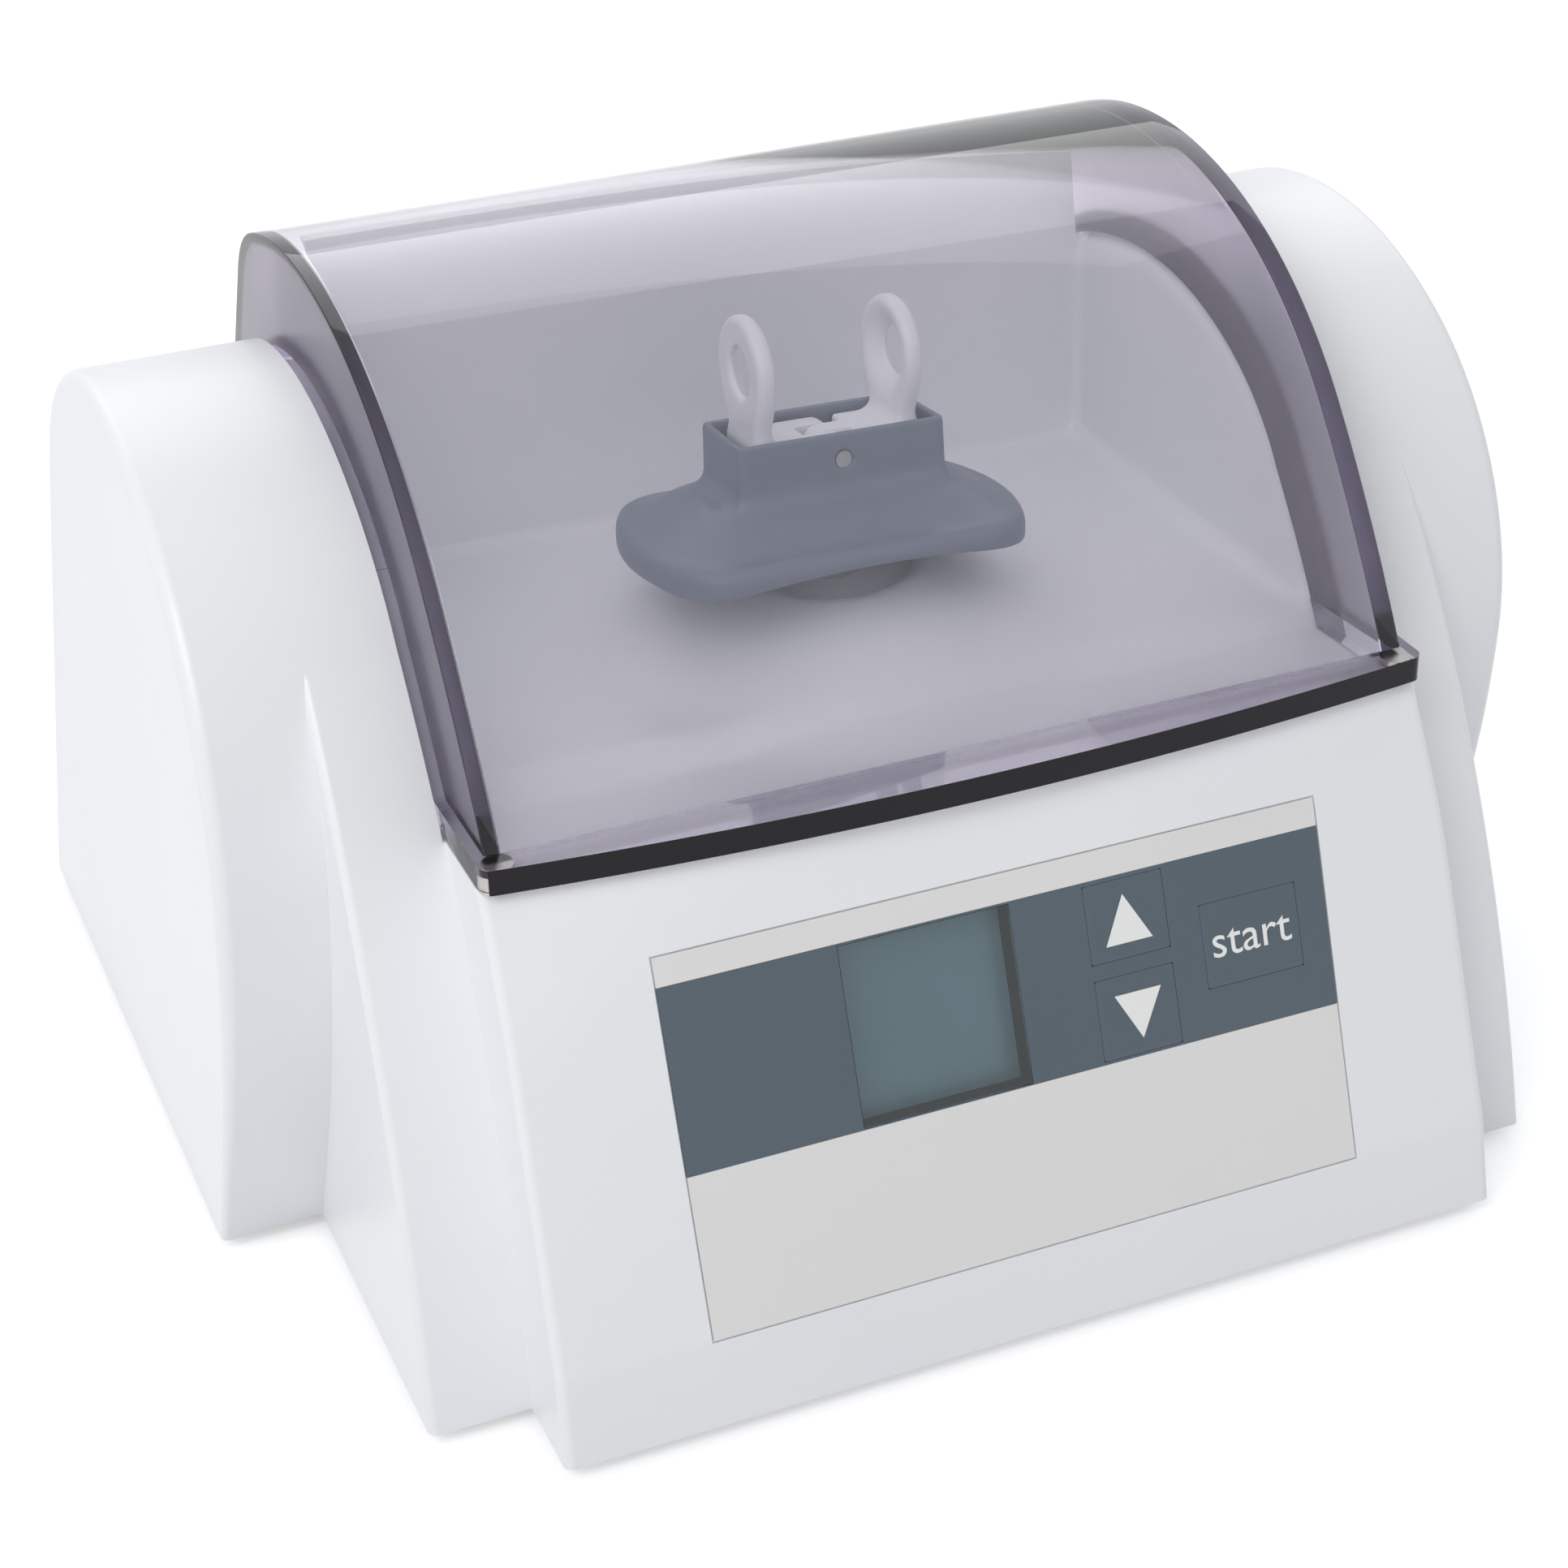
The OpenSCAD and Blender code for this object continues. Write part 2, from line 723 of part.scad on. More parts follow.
module pivot_pin() color("silver") stand() fork_frame() translate([0, 0, -pin_drop]) rotate([90, 0, 0])
    cylinder(h = box_size[1] - 0.2, d = pin_d, center = true);

// The left arm. Knuckles are given as [y0, y1] along the pin.
module arm(knuckles) {
    half_w = arm_w / 2;
    difference() {
        union() {
            translate([-eye_x - eye_t / 2, 0, 0]) rotate([90, 0, 90]) linear_extrude(eye_t) {
                translate([0, eye_z]) circle(r = eye_r);
                polygon([[-half_w, -7.6], [half_w, -7.6], [half_w, 3], [eye_r * 0.82, eye_z - 6],
                    [-eye_r * 0.82, eye_z - 6], [-half_w, 3]]);
            }
            translate([-eye_x, -half_w, -7.6]) cube([eye_x - 5.2, arm_w, 6]);
            for (k = knuckles) {
                translate([-5.6, k[0], -7.6]) cube([5.6, k[1] - k[0], 6]);
                translate([0, k[1], -pin_drop]) rotate([90, 0, 0]) cylinder(h = k[1] - k[0], r = 3.8);
            }
        }
        translate([0, 0, -pin_drop]) rotate([90, 0, 0]) cylinder(h = 40, r = pin_d / 2 + 0.05, center = true);
        translate([-eye_x - 4, 0, eye_z]) along_x(0, 8, eye_hole_d / 2);
        translate([-eye_x + eye_t / 2 + eps, 0, eye_z]) rotate([0, -90, 0])
            cylinder(h = eye_t * 0.7, r1 = 8, r2 = eye_hole_d / 2 - 0.2);
    }
}

module arm_left() color("whitesmoke") stand() fork_frame() arm([[-7.25, -2.9], [2.9, 7.25]]);

module arm_right() color("whitesmoke") stand() fork_frame() mirror([1, 0, 0]) arm([[-2.5, 2.5]]);

// Rest of the drive and the electrics.

module mount_bushes() color("black") stand() for (x = bush_xs, y = [-28, 28])
    translate([x, swing_y + y, 2.5]) {
        cylinder(h = 3, d = 12);
        cylinder(h = 7, d = 6.4);
        translate([0, 0, 6.0]) cylinder(h = 2, d = 12);
    }

module transformer_core() color("dimgray") stand() translate([-88, 112, 2.5]) difference() {
    translate([-22, -25, 0]) cube([44, 50, 40]);
    translate([-14, -26, 7]) cube([28, 52, 26]);
}

module transformer_coil() color("goldenrod") stand() translate([-88, 112, 2.5])
    translate([-13.6, -32, 7.4]) cube([27.2, 64, 25.2]);

module run_capacitor() color("lightgray") stand() translate([-20, 190, 20.6]) along_x(-25, 25, 15);

module capacitor_clip() color("gray") stand() difference() {
    union() {
        box(-30, -10, 172, 208, 2.5, 5);
        translate([0, 190, 20.6]) along_x(-26, -14, 17);
    }
    translate([0, 190, 20.6]) along_x(-40, 0, 15.05);
    box(-40, 0, 160, 220, 24, 50);
}

module supply_board() color("darkgreen") stand() box(26, 76, 160, 216, 8, 9.6);

module supply_parts() color("black") stand() {
    for (y = [172, 184]) translate([34, y, 9.6]) cylinder(h = 18, d = 8);
    box(43, 57, 164, 180, 9.6, 24);
    box(62, 72, 168, 192, 9.6, 18);
    box(40, 56, 194, 206, 9.6, 15);
    for (x = [30, 72], y = [164, 212]) translate([x, y, 2.5]) cylinder(h = 5.5, d = 6);
}

module mains_inlet() color("black") stand() rear_frame(inlet_at) difference() {
    union() {
        translate([-16, -20, 0]) cube([32, 40, 2.5]);
        translate([-13.6, -16.6, -24]) cube([27.2, 33.2, 24]);
    }
    translate([-12, -2, -17]) cube([24, 16.6, 20]);
    translate([-11, -15, -22]) cube([22, 10, 25]);
    pin_bars(0.05);
}

module pin_bars(grow) for (at = [[-7, 4.8, 24], [0, 9.2, 26], [7, 4.8, 24]])
    translate([at[0] - 1 - grow, at[1] - 2 - grow, -30]) cube([2 + 2 * grow, 4 + 2 * grow, at[2]]);

module inlet_pins() color("silver") stand() rear_frame(inlet_at) pin_bars(0);

module fuse_drawer() color("dimgray") stand() rear_frame(inlet_at) difference() {
    translate([-10.7, -14.7, -21]) cube([21.4, 9.4, 23.3]);
    translate([-8.6, -13.6, -19]) cube([17.2, 10, 17]);
    translate([-4, -16, 1.2]) cube([8, 4, 3]);
}

module switch_frame() color("black") stand() rear_frame(switch_at) difference() {
    union() {
        translate([-13, -16.5, 0]) cube([26, 33, 2]);
        translate([-10.6, -13.6, -16]) cube([21.2, 27.2, 16]);
    }
    translate([-8.6, -12.2, -9]) cube([17.2, 24.4, 12]);
}

module switch_rocker() color("firebrick") stand() rear_frame(switch_at)
    translate([-8.2, 0, -2]) rotate([90, 0, 90]) linear_extrude(16.4)
        polygon([[-10.6, 2], [0, 3.4], [10.6, 5.4], [10, -1], [2, -4.5], [-2, -4.5], [-10, -2.6]]);

module mains_wires() color("royalblue") stand() {
    for (x = [12, 16, 20]) translate([x, 146, 3.75]) {
        rotate([-90, 0, 0]) cylinder(h = 72, d = 2.4);
        sphere(d = 2.4);
    }
}
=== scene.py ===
# %% [markdown]
# # A capsule mixer, dressed for the camera
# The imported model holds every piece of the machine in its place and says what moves. This notebook
# keeps that frame, gives each piece its finish, and rebuilds the mouldings whose soft edges a CAD solid
# leaves out: the housing, the clear lid, the capsule fork and its two arms.

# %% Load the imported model
from math import ceil, cos, degrees, pi, radians, sin, sqrt, tan

import bmesh
import bpy
import numpy as np
from mathutils import Matrix, Vector


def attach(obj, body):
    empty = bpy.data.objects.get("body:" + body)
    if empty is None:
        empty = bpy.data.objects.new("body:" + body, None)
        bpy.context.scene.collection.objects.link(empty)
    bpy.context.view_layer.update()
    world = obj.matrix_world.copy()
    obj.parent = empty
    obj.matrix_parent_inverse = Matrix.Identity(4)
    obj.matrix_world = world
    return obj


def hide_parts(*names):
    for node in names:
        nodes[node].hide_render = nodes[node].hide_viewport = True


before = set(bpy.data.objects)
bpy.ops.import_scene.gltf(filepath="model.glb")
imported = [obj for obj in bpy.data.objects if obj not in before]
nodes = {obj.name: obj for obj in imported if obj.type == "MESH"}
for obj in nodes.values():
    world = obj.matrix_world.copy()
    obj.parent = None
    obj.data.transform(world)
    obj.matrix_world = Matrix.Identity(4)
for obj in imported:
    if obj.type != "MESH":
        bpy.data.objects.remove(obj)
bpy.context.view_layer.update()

# %% [markdown]
# ## Units and the drawing frame
# The shapes are drawn in millimetres from the front base edge (y = 0) and the housing's lower edge
# (z = 0). One shift puts them on the table under the middle of the outline.

# %% Millimetres on the drawing to closed meshes in metres
MM = 0.001
SHIFT = np.array([0.0, -128.2, 3.0])


def placed(points):
    """Points of the drawing, in millimetres, as metres in the row frame."""
    return (np.asarray(points, float) + SHIFT) * MM


def shade(piece, smooth_below=35):
    """Smooth shading with a crease where faces meet at more than this angle, in degrees."""
    piece.data.polygons.foreach_set("use_smooth", [True] * len(piece.data.polygons))
    piece.data.set_sharp_from_angle(angle=radians(smooth_below))


def new_object(name, data):
    """An object in the scene for that mesh, text, lamp or camera."""
    thing = bpy.data.objects.new(name, data)
    bpy.context.scene.collection.objects.link(thing)
    return thing


def make_piece(name, points, faces, smooth_below=35):
    """A closed mesh object at the origin, so that it can ride on a body, with its faces outward."""
    mesh = bpy.data.meshes.new(name)
    mesh.from_pydata(placed(points).tolist(), [], [list(map(int, f)) for f in faces])
    mesh.validate()
    solid = bmesh.new()
    solid.from_mesh(mesh)
    if solid.calc_volume(signed=True) < 0:
        mesh.flip_normals()
    solid.free()
    piece = new_object(name, mesh)
    shade(piece, smooth_below)
    return piece


# %% [markdown]
# ## Joining and cutting
# A mould is cut step by step, pocket after pocket, and so are these solids. Each result becomes plain
# mesh at once, so that the next step starts clean.

# %% Joining and cutting closed meshes
def final_mesh(thing):
    """A new mesh of what the object shows, with its modifiers applied."""
    return bpy.data.meshes.new_from_object(thing.evaluated_get(bpy.context.evaluated_depsgraph_get()))


def bake(piece):
    """Turns the piece's modifiers into plain mesh."""
    result = final_mesh(piece)
    piece.modifiers.clear()
    old = piece.data
    piece.data = result
    bpy.data.meshes.remove(old)
    result.name = piece.name


def combine(piece, other, how):
    """Changes the piece by a solid that is used up in the step."""
    step = piece.modifiers.new(how, "BOOLEAN")
    step.operation = how
    step.solver = "MANIFOLD"
    step.object = other
    bake(piece)
    bpy.data.objects.remove(other)


def cut(piece, other):
    combine(piece, other, "DIFFERENCE")


def join(piece, other):
    combine(piece, other, "UNION")


# %% [markdown]
# ## The machine's measures
# They were read in the frame of the photograph's fitted camera. The scale comes from the fork, which
# has to hold a capsule of a known length.

# %% The main measures, in millimetres and radians
BODY_DEPTH = 256.4
WALL = 3.0
SIDE_DRAFT = 0.0286  # the side faces lean in by this much a millimetre
WING_HALF_W, MID_HALF_W, FRONT_HALF_W = 141.2, 120.1, 100.0  # at the base
LID_HALF_W, LID_WALL, LID_SIDE_WALL, LID_GAP = 94.85, 2.4, 3.2, 0.4
FLOOR_Z, SEAT_Z, SEAT_ROOF_Y = 107.0, 103.2, 72.0
CHAMBER_HALF_W, REBATE_HALF_W, REBATE_D = 91.5, 97.5, 5.5
DECK_FRONT_Y, BACK_WALL_Y, BACK_WALL_Z, SHELF_Z = 47.0, 165.0, 179.2, 128.0
SWING, DOME_R, DOME_HOLE_R = (0.0, 108.2, 36.0), 84.4, 18.0
PANEL_Y, PANEL_Z, PANEL_LEAN = 3.36, 17.65, radians(19.4)
REAR_LEAN = radians(23.3)
HINGE_Y, HINGE_Z, HINGE_R = 199.0, 139.0, 5.0
BELOW, ASIDE, BEHIND = -20.0, 200, 400  # safely past the machine, for cuts
print("wings", 2 * WING_HALF_W, "mm wide, body", BODY_DEPTH, "mm deep")

# %% [markdown]
# ## The side outlines
# The wings, the middle block and the lid are each one run of arcs that meet without a corner. An arc is
# a radius and the heading it ends on, in degrees from straight up toward the rear.

# %% Outlines as runs of arcs
WING_ARCS = ((93.4, 0.0), -22.0, ((2000, -21), (212.8, -4.9), (67, 57.2), (82.3, 101.8), (57.6, 156.7)))
MID_ARCS = ((19.4, 0.0), 11.2, ((348.8, 27.8), (244.3, 42.4)))
LID_ARCS = ((38.6, 105.0), 28.0, ((290.9, 38.7), (95.2, 83.8), (100.6, 109.1), (24.9, 151.5)))
MID_REAR_Y, MID_TOP_Z = 116, 146  # hidden inside the wings
ARC_STEP = 1.5  # degrees from one corner point to the next


def run_of_arcs(drawn, inset=0.0):
    """Corner points (y, z) of a run of arcs, set in by that much."""
    (y, z), heading, arcs = drawn
    h = radians(heading)
    y, z = y + inset * cos(h), z - inset * sin(h)
    points = [(y, z)]
    for radius, end in arcs:
        r, h1 = radius - inset, radians(end)
        count = max(2, ceil(abs(end - degrees(h)) / ARC_STEP))
        for i in range(1, count + 1):
            g = h + (h1 - h) * i / count
            points.append((y + r * (cos(h) - cos(g)), z + r * (sin(g) - sin(h))))
        y, z = points[-1]
        h = h1
    return points


def along(point, heading, z):
    """The point at height z on the straight line with that heading."""
    return (point[0] + (z - point[1]) * tan(radians(heading)), z)


def side_outline(drawn, inset=0.0, base=BELOW):
    """A run of arcs, closed by its two straight ends down to the base."""
    run = run_of_arcs(drawn, inset)
    return [along(run[0], drawn[1], base)] + run + [along(run[-1], drawn[2][-1][1], base)]


def mid_outline(inset=0.0):
    run = run_of_arcs(MID_ARCS, inset)
    return [along(run[0], MID_ARCS[1], BELOW)] + run + [(MID_REAR_Y, MID_TOP_Z), (MID_REAR_Y, BELOW)]


print("lid's top at", round(max(z for y, z in run_of_arcs(LID_ARCS)), 1), "mm")

# %% [markdown]
# ## Soft mouldings from distances
# The chamber, the fork and the arms have no true edges: a ball cutter made their tools. Such a form is
# easy to say as a distance, how far a point lies inside or outside it, and distances join softly.

# %% Distances and how they combine
def outline_distance(y, z, corners):
    """Distance in the side view to a closed outline, negative inside."""
    y, z = np.broadcast_arrays(np.asarray(y, float), np.asarray(z, float))
    nearest = np.full(y.shape, 1e12)
    inside = np.zeros(y.shape, bool)
    for (y0, z0), (y1, z1) in zip(corners, corners[1:] + corners[:1]):
        ey, ez = y1 - y0, z1 - z0
        length = ey * ey + ez * ez
        if length < 1e-12:
            continue
        t = np.clip(((y - y0) * ey + (z - z0) * ez) / length, 0, 1)
        nearest = np.minimum(nearest, (y - y0 - t * ey) ** 2 + (z - z0 - t * ez) ** 2)
        if z0 != z1:
            inside ^= ((z0 <= z) != (z1 <= z)) & (y < y0 + (z - z0) * ey / ez)
    nearest = np.sqrt(nearest)
    return np.where(inside, -nearest, nearest)


def rounded_edge(a, b, radius):
    """What two surfaces enclose, with their common edge rounded."""
    a, b = a + radius, b + radius
    return np.minimum(np.maximum(a, b), 0) + np.hypot(np.maximum(a, 0), np.maximum(b, 0)) - radius


def soft_join(a, b, k):
    """Both forms together, with a fillet of about k where they meet."""
    h = np.maximum(k - np.abs(a - b), 0) / k
    return np.minimum(a, b) - h * h * k / 4


def soft_cut(a, cutter, k):
    """The form without the cutter, with a soft edge round the cut."""
    return -soft_join(-a, cutter, k)


def soft_both(a, b, k):
    """What both forms share, with a soft edge between them."""
    return -soft_join(-a, -b, k)


def brick(x, y, z, low, high, radius=0.0):
    """Distance to a box with rounded edges."""
    outside, inner = 0.0, -1e9
    for v, a, b in ((x, low[0], high[0]), (y, low[1], high[1]), (z, low[2], high[2])):
        q = np.abs(v - (a + b) / 2) - (b - a) / 2 + radius
        outside = outside + np.maximum(q, 0) ** 2
        inner = np.maximum(inner, q)
    return np.sqrt(outside) + np.minimum(inner, 0) - radius


def smooth_rise(t):
    """From 0 to 1 with no corner at either end."""
    t = np.clip(t, 0, 1)
    return t * t * (3 - 2 * t)


# %% [markdown]
# ## From a distance to a skin
# A grid of distances becomes a closed skin of even quads: one vertex in each cell that the surface
# crosses, moved onto the exact surface.

# %% One vertex in each crossed cell
FINE = 1e-5  # keeps a grid value off zero
CORNERS = [(i, j, k) for i in (0, 1) for j in (0, 1) for k in (0, 1)]


def toward(distance, points, step):
    """How far each point has to move to lie on the surface."""
    here = distance(*points.T)
    reach = step * 0.05
    slope = np.stack([(distance(*(points + np.eye(3)[d] * reach).T) - here) / reach for d in range(3)], 1)
    steep = np.maximum((slope ** 2).sum(1), 0.25)
    return slope * np.clip(here / steep, -step / 2, step / 2)[:, None]


def cell_points(field, cell):
    """In each cell, the mean of the spots where its edges cross the surface."""
    value = {c: field[cell[:, 0] + c[0], cell[:, 1] + c[1], cell[:, 2] + c[2]].astype(float) for c in CORNERS}
    total, hits = np.zeros((len(cell), 3)), np.zeros(len(cell))
    for a in CORNERS:
        for d in range(3):
            if a[d]:
                continue
            b = tuple(v + (i == d) for i, v in enumerate(a))
            crossed = (value[a] < 0) != (value[b] < 0)
            t = np.where(crossed, value[a] / np.where(crossed, value[a] - value[b], 1), 0)
            spot = np.array(a, float) + np.outer(t, np.eye(3)[d])
            total += spot * crossed[:, None]
            hits += crossed
    return cell + total / hits[:, None]


def cell_quads(inside, number):
    """A quad round each grid edge that crosses the surface, through the four cells beside it."""
    quads = []
    for d in range(3):
        u, v = (d + 1) % 3, (d + 2) % 3
        first = [slice(1, -1)] * 3
        first[d] = slice(0, -1)
        second = list(first)
        second[d] = slice(1, None)
        a, b = inside[tuple(first)], inside[tuple(second)]
        at = np.argwhere(a != b)
        grows = a[tuple(at.T)]
        base = at + 1
        base[:, d] -= 1
        ring = []
        for du, dv in ((-1, -1), (0, -1), (0, 0), (-1, 0)):
            where = base.copy()
            where[:, u] += du
            where[:, v] += dv
            ring.append(number[tuple(where.T)])
        ring = np.stack(ring, 1)
        ring[~grows] = ring[~grows][:, ::-1]
        quads.append(ring)
    return np.concatenate(quads)


def skin(distance, low, high, step):
    """Points and quads of the surface where distance(x, y, z) is zero."""
    axes = [np.arange(a, b + step, step) for a, b in zip(low, high)]
    field = np.asarray(distance(axes[0][:, None, None], axes[1][None, :, None], axes[2][None, None, :]))
    field = np.broadcast_to(field, [len(a) for a in axes]).astype(np.float32)
    field = np.where(np.abs(field) < FINE, np.float32(FINE), field)
    inside = field < 0
    size = np.array(field.shape) - 1
    window = [tuple(slice(c, c + n) for c, n in zip(corner, size)) for corner in CORNERS]
    count = sum(inside[w].astype(np.int8) for w in window)
    cell = np.argwhere((count > 0) & (count < 8))
    points = cell_points(field, cell) * step + np.array([a[0] for a in axes])
    for _ in range(2):
        points = points - toward(distance, points, step)
    number = np.full(size, -1, np.int64)
    number[tuple(cell.T)] = np.arange(len(cell))
    return points, cell_quads(inside, number)


# %% [markdown]
# ## Crisp blocks, ring by ring
# The housing's blocks do have true edges, which a grid would blur. They are skins over rings instead:
# each ring is the side outline, drawn in a little where the rim is rounded.

# %% Rings, slabs and boxes
BOX_FACES = [(0, 2, 3, 1), (4, 5, 7, 6), (0, 1, 5, 4), (2, 6, 7, 3), (0, 4, 6, 2), (1, 3, 7, 5)]


def rings_to_piece(name, rings):
    """A closed skin over a stack of rings with equal counts, capped at both ends."""
    count = len(rings[0])
    faces = []
    for c in range(len(rings) - 1):
        for i in range(count):
            j = (i + 1) % count
            faces.append((c * count + i, c * count + j, (c + 1) * count + j, (c + 1) * count + i))
    last = (len(rings) - 1) * count
    faces += [tuple(range(count))[::-1], tuple(last + i for i in range(count))]
    return make_piece(name, np.concatenate(rings), faces)


def rounded_slab(name, outline, half_w, rim, draft=SIDE_DRAFT, turns=6, lines=()):
    """A solid between two side faces with rounded edges of radius rim, or rim(z). Each of lines is a
    place across it that gets a ring of its own."""
    ring = np.array(outline)
    ahead, behind = np.roll(ring, -1, 0) - ring, ring - np.roll(ring, 1, 0)
    normal = lambda e: np.stack([e[:, 1], -e[:, 0]], 1) / np.linalg.norm(e, axis=1)[:, None]
    a, b = normal(ahead), normal(behind)
    inward = (a + b) / (1 + (a * b).sum(1))[:, None]
    area = np.sum(ring[:, 0] * np.roll(ring[:, 1], -1) - ring[:, 1] * np.roll(ring[:, 0], -1))
    inward = inward if area < 0 else -inward
    radius = rim(ring[:, 1]) if callable(rim) else np.full(len(ring), float(rim))
    angles = np.linspace(0, pi / 2, turns + 1)
    columns = []
    for side in (-1, 1):
        for t in angles if side < 0 else angles[::-1]:
            at = ring + inward * (radius * (1 - sin(t)))[:, None]
            x = side * (half_w - draft * at[:, 1] - radius * (1 - cos(t)))
            columns.append(np.column_stack([x, at]))
        if side < 0:
            columns += [np.column_stack([np.full(len(ring), line), ring]) for line in lines]
    return rings_to_piece(name, columns)


def box_points(low, high):
    return [(x, y, z) for z in (low[2], high[2]) for y in (low[1], high[1]) for x in (low[0], high[0])]


def block_box(name, low, high):
    return make_piece(name, box_points(low, high), BOX_FACES)


# %% [markdown]
# ## The front block
# The part of the moulding that carries the panel. Its face slopes like a desk, and a large leaning
# cylinder draws the top corners back, so that the deck follows the bow of the lid's flange.

# %% The front block, ring by ring
FRONT_CORNER, FRONT_REAR_Y, BOW_BLEND = 2.0, 112, 1.5
FRONT_HEIGHTS = [BELOW, 0, 6, 12, 16.6, PANEL_Z, 18.7] + list(np.arange(22, 119, 3.0))
BOW_R, BOW_LEAN = 937.0, PANEL_LEAN + radians(8.8)
BOW_Y = PANEL_Y + (FLOOR_Z - PANEL_Z) * tan(PANEL_LEAN)


def front_face_y(x, z):
    """The sloping front or the large cylinder, whichever lies further back."""
    plane = z * PANEL_Y / PANEL_Z if z < PANEL_Z else PANEL_Y + (z - PANEL_Z) * tan(PANEL_LEAN)
    sagitta = BOW_R - np.sqrt(BOW_R ** 2 - x * x)
    bow = BOW_Y + (z - FLOOR_Z) * tan(BOW_LEAN) + sagitta / cos(BOW_LEAN)
    return -soft_join(-plane + 0 * x, -bow, BOW_BLEND)


def front_block(name, inset=0.0):
    """A stack of level rings, each a bowed front with two rounded corners."""
    turn = np.linspace(0, pi / 2, 6)[1:]
    rings = []
    for z in FRONT_HEIGHTS:
        half = FRONT_HALF_W - SIDE_DRAFT * z - inset
        flat = half - FRONT_CORNER
        middle = np.linspace(-flat, flat, 41)
        edge = front_face_y(np.array([flat]), z)[0]
        right = [(flat + FRONT_CORNER * sin(t), edge + FRONT_CORNER * (1 - cos(t))) for t in turn]
        left = [(-x, y) for x, y in right[::-1]]
        front = left + list(zip(middle, front_face_y(middle, z))) + right
        plan = [(-half, FRONT_REAR_Y - inset)] + [(x, y + inset) for x, y in front] + [(half, FRONT_REAR_Y - inset)]
        rings.append(np.array([(x, y, z) for x, y in plan]))
    return rings_to_piece(name, rings)


# %% [markdown]
# ## The housing
# One shell of white ABS: two wings with rounded rims, a middle block and the front block, which meet in
# crisp valleys. It leaves its tool upward, so its side faces lean in toward the top.

# %% The housing's blocks joined
MID_RIM = 1.8


def wing_rim(z):
    """The radius of the wings' rims, which grow rounder toward the top."""
    return 1.5 + 1.5 * np.clip((z - 5) / 75, 0, 1)


def blocks(name, inset=0.0, rim=wing_rim):
    """The housing's outer form, set in by that much."""
    form = rounded_slab(name, side_outline(WING_ARCS, inset), WING_HALF_W - inset, rim, turns=8)
    join(form, rounded_slab("middle_block", mid_outline(inset), MID_HALF_W - inset, MID_RIM))
    join(form, front_block("front_block", inset))
    return form


housing_shell = blocks("housing_shell")
cut(housing_shell, block_box("below", (-ASIDE, -50, -40), (ASIDE, BEHIND, 0)))
print("blocks:", len(housing_shell.data.polygons), "faces")

# %% [markdown]
# ## The room for the lid
# The lid stands in a rebate along the arch on both sides of the chamber, 5.5 mm below the rim of the
# wings, and over a level seat in front. A shelf behind the back wall lies open for the hinge.

# %% The rebate, the seat and the rear shelf
ARCH_HALF_W = 125
ROOM_SIDE = CHAMBER_HALF_W - 0.3


def cut_by_arches(piece, inset):
    """Takes all that lies under the housing's arches, set in by that much, from the piece."""
    for name, outline in (("wing_arch", side_outline(WING_ARCS, inset)), ("mid_arch", mid_outline(inset))):
        cut(piece, rounded_slab(name, outline, ARCH_HALF_W, 0.5, turns=2))


rebate = block_box("rebate", (-REBATE_HALF_W, -10, SEAT_Z), (REBATE_HALF_W, BACK_WALL_Y + 10, 260))
cut_by_arches(rebate, REBATE_D)
cut(rebate, block_box("chamber_part", (-ROOM_SIDE, DECK_FRONT_Y, 80), (ROOM_SIDE, BACK_WALL_Y - 2, 300)))
shelf = block_box("shelf", (-REBATE_HALF_W, BACK_WALL_Y + WALL, SHELF_Z), (REBATE_HALF_W, 300, 260))
for room in (rebate, shelf):
    cut(housing_shell, room)
print("with the room for the lid:", len(housing_shell.data.polygons), "faces")

# %% [markdown]
# ## The chamber
# The well in which the capsule swings: coves that wipe clean, a dome round the stem, and soft top edges
# on its walls. All of it flows, so it is a distance skin.

# %% The chamber as a distance skin
REBATE_WING, REBATE_MID = side_outline(WING_ARCS, REBATE_D), mid_outline(REBATE_D)
COVE_R, BACK_COVE, RIM_BLEND, DOME_BLEND, HOLE_BLEND = 5.0, 3.0, 5.0, 7.0, 1.5
HOLE_MID_Z, HOLE_HALF_H = 108, 18
ROOM_TOP_Z, ROOM_FRONT_Y = 188, 26
CHAMBER_STEP = 1.4


def from_swing(x, y, z):
    """Distance from the point that the fork swings about."""
    return np.sqrt((x - SWING[0]) ** 2 + (y - SWING[1]) ** 2 + (z - SWING[2]) ** 2)


def chamber(x, y, z):
    """Distance to the open room round the fork, negative in the air."""
    across = np.abs(x)
    well = soft_both(rounded_edge(across - CHAMBER_HALF_W, FLOOR_Z - z, COVE_R), y - BACK_WALL_Y, BACK_COVE)
    arch = np.minimum(outline_distance(y, z, REBATE_WING), outline_distance(y, z, REBATE_MID))
    over_arch = np.minimum(0.04 - arch, y - DECK_FRONT_Y)
    above = np.maximum(over_arch, np.maximum(SEAT_Z + 0.05 - z, across - REBATE_HALF_W + 2.5))
    above = np.maximum(above, y - BACK_WALL_Y + 1.5)
    room = soft_join(np.maximum(well, DECK_FRONT_Y - 1 - y), above, RIM_BLEND)
    room = soft_cut(room, from_swing(x, y, z) - DOME_R, DOME_BLEND)
    hole = np.hypot(x - SWING[0], y - SWING[1]) - DOME_HOLE_R
    room = soft_join(room, np.maximum(hole, np.abs(z - HOLE_MID_Z) - HOLE_HALF_H), HOLE_BLEND)
    return np.maximum(room, np.maximum(z - ROOM_TOP_Z, ROOM_FRONT_Y - y))


points, quads = skin(chamber, (-98, 22, 86), (98, 169, 192), CHAMBER_STEP)
cut(housing_shell, make_piece("chamber_room", points, quads))
print("chamber skin:", len(quads), "quads")

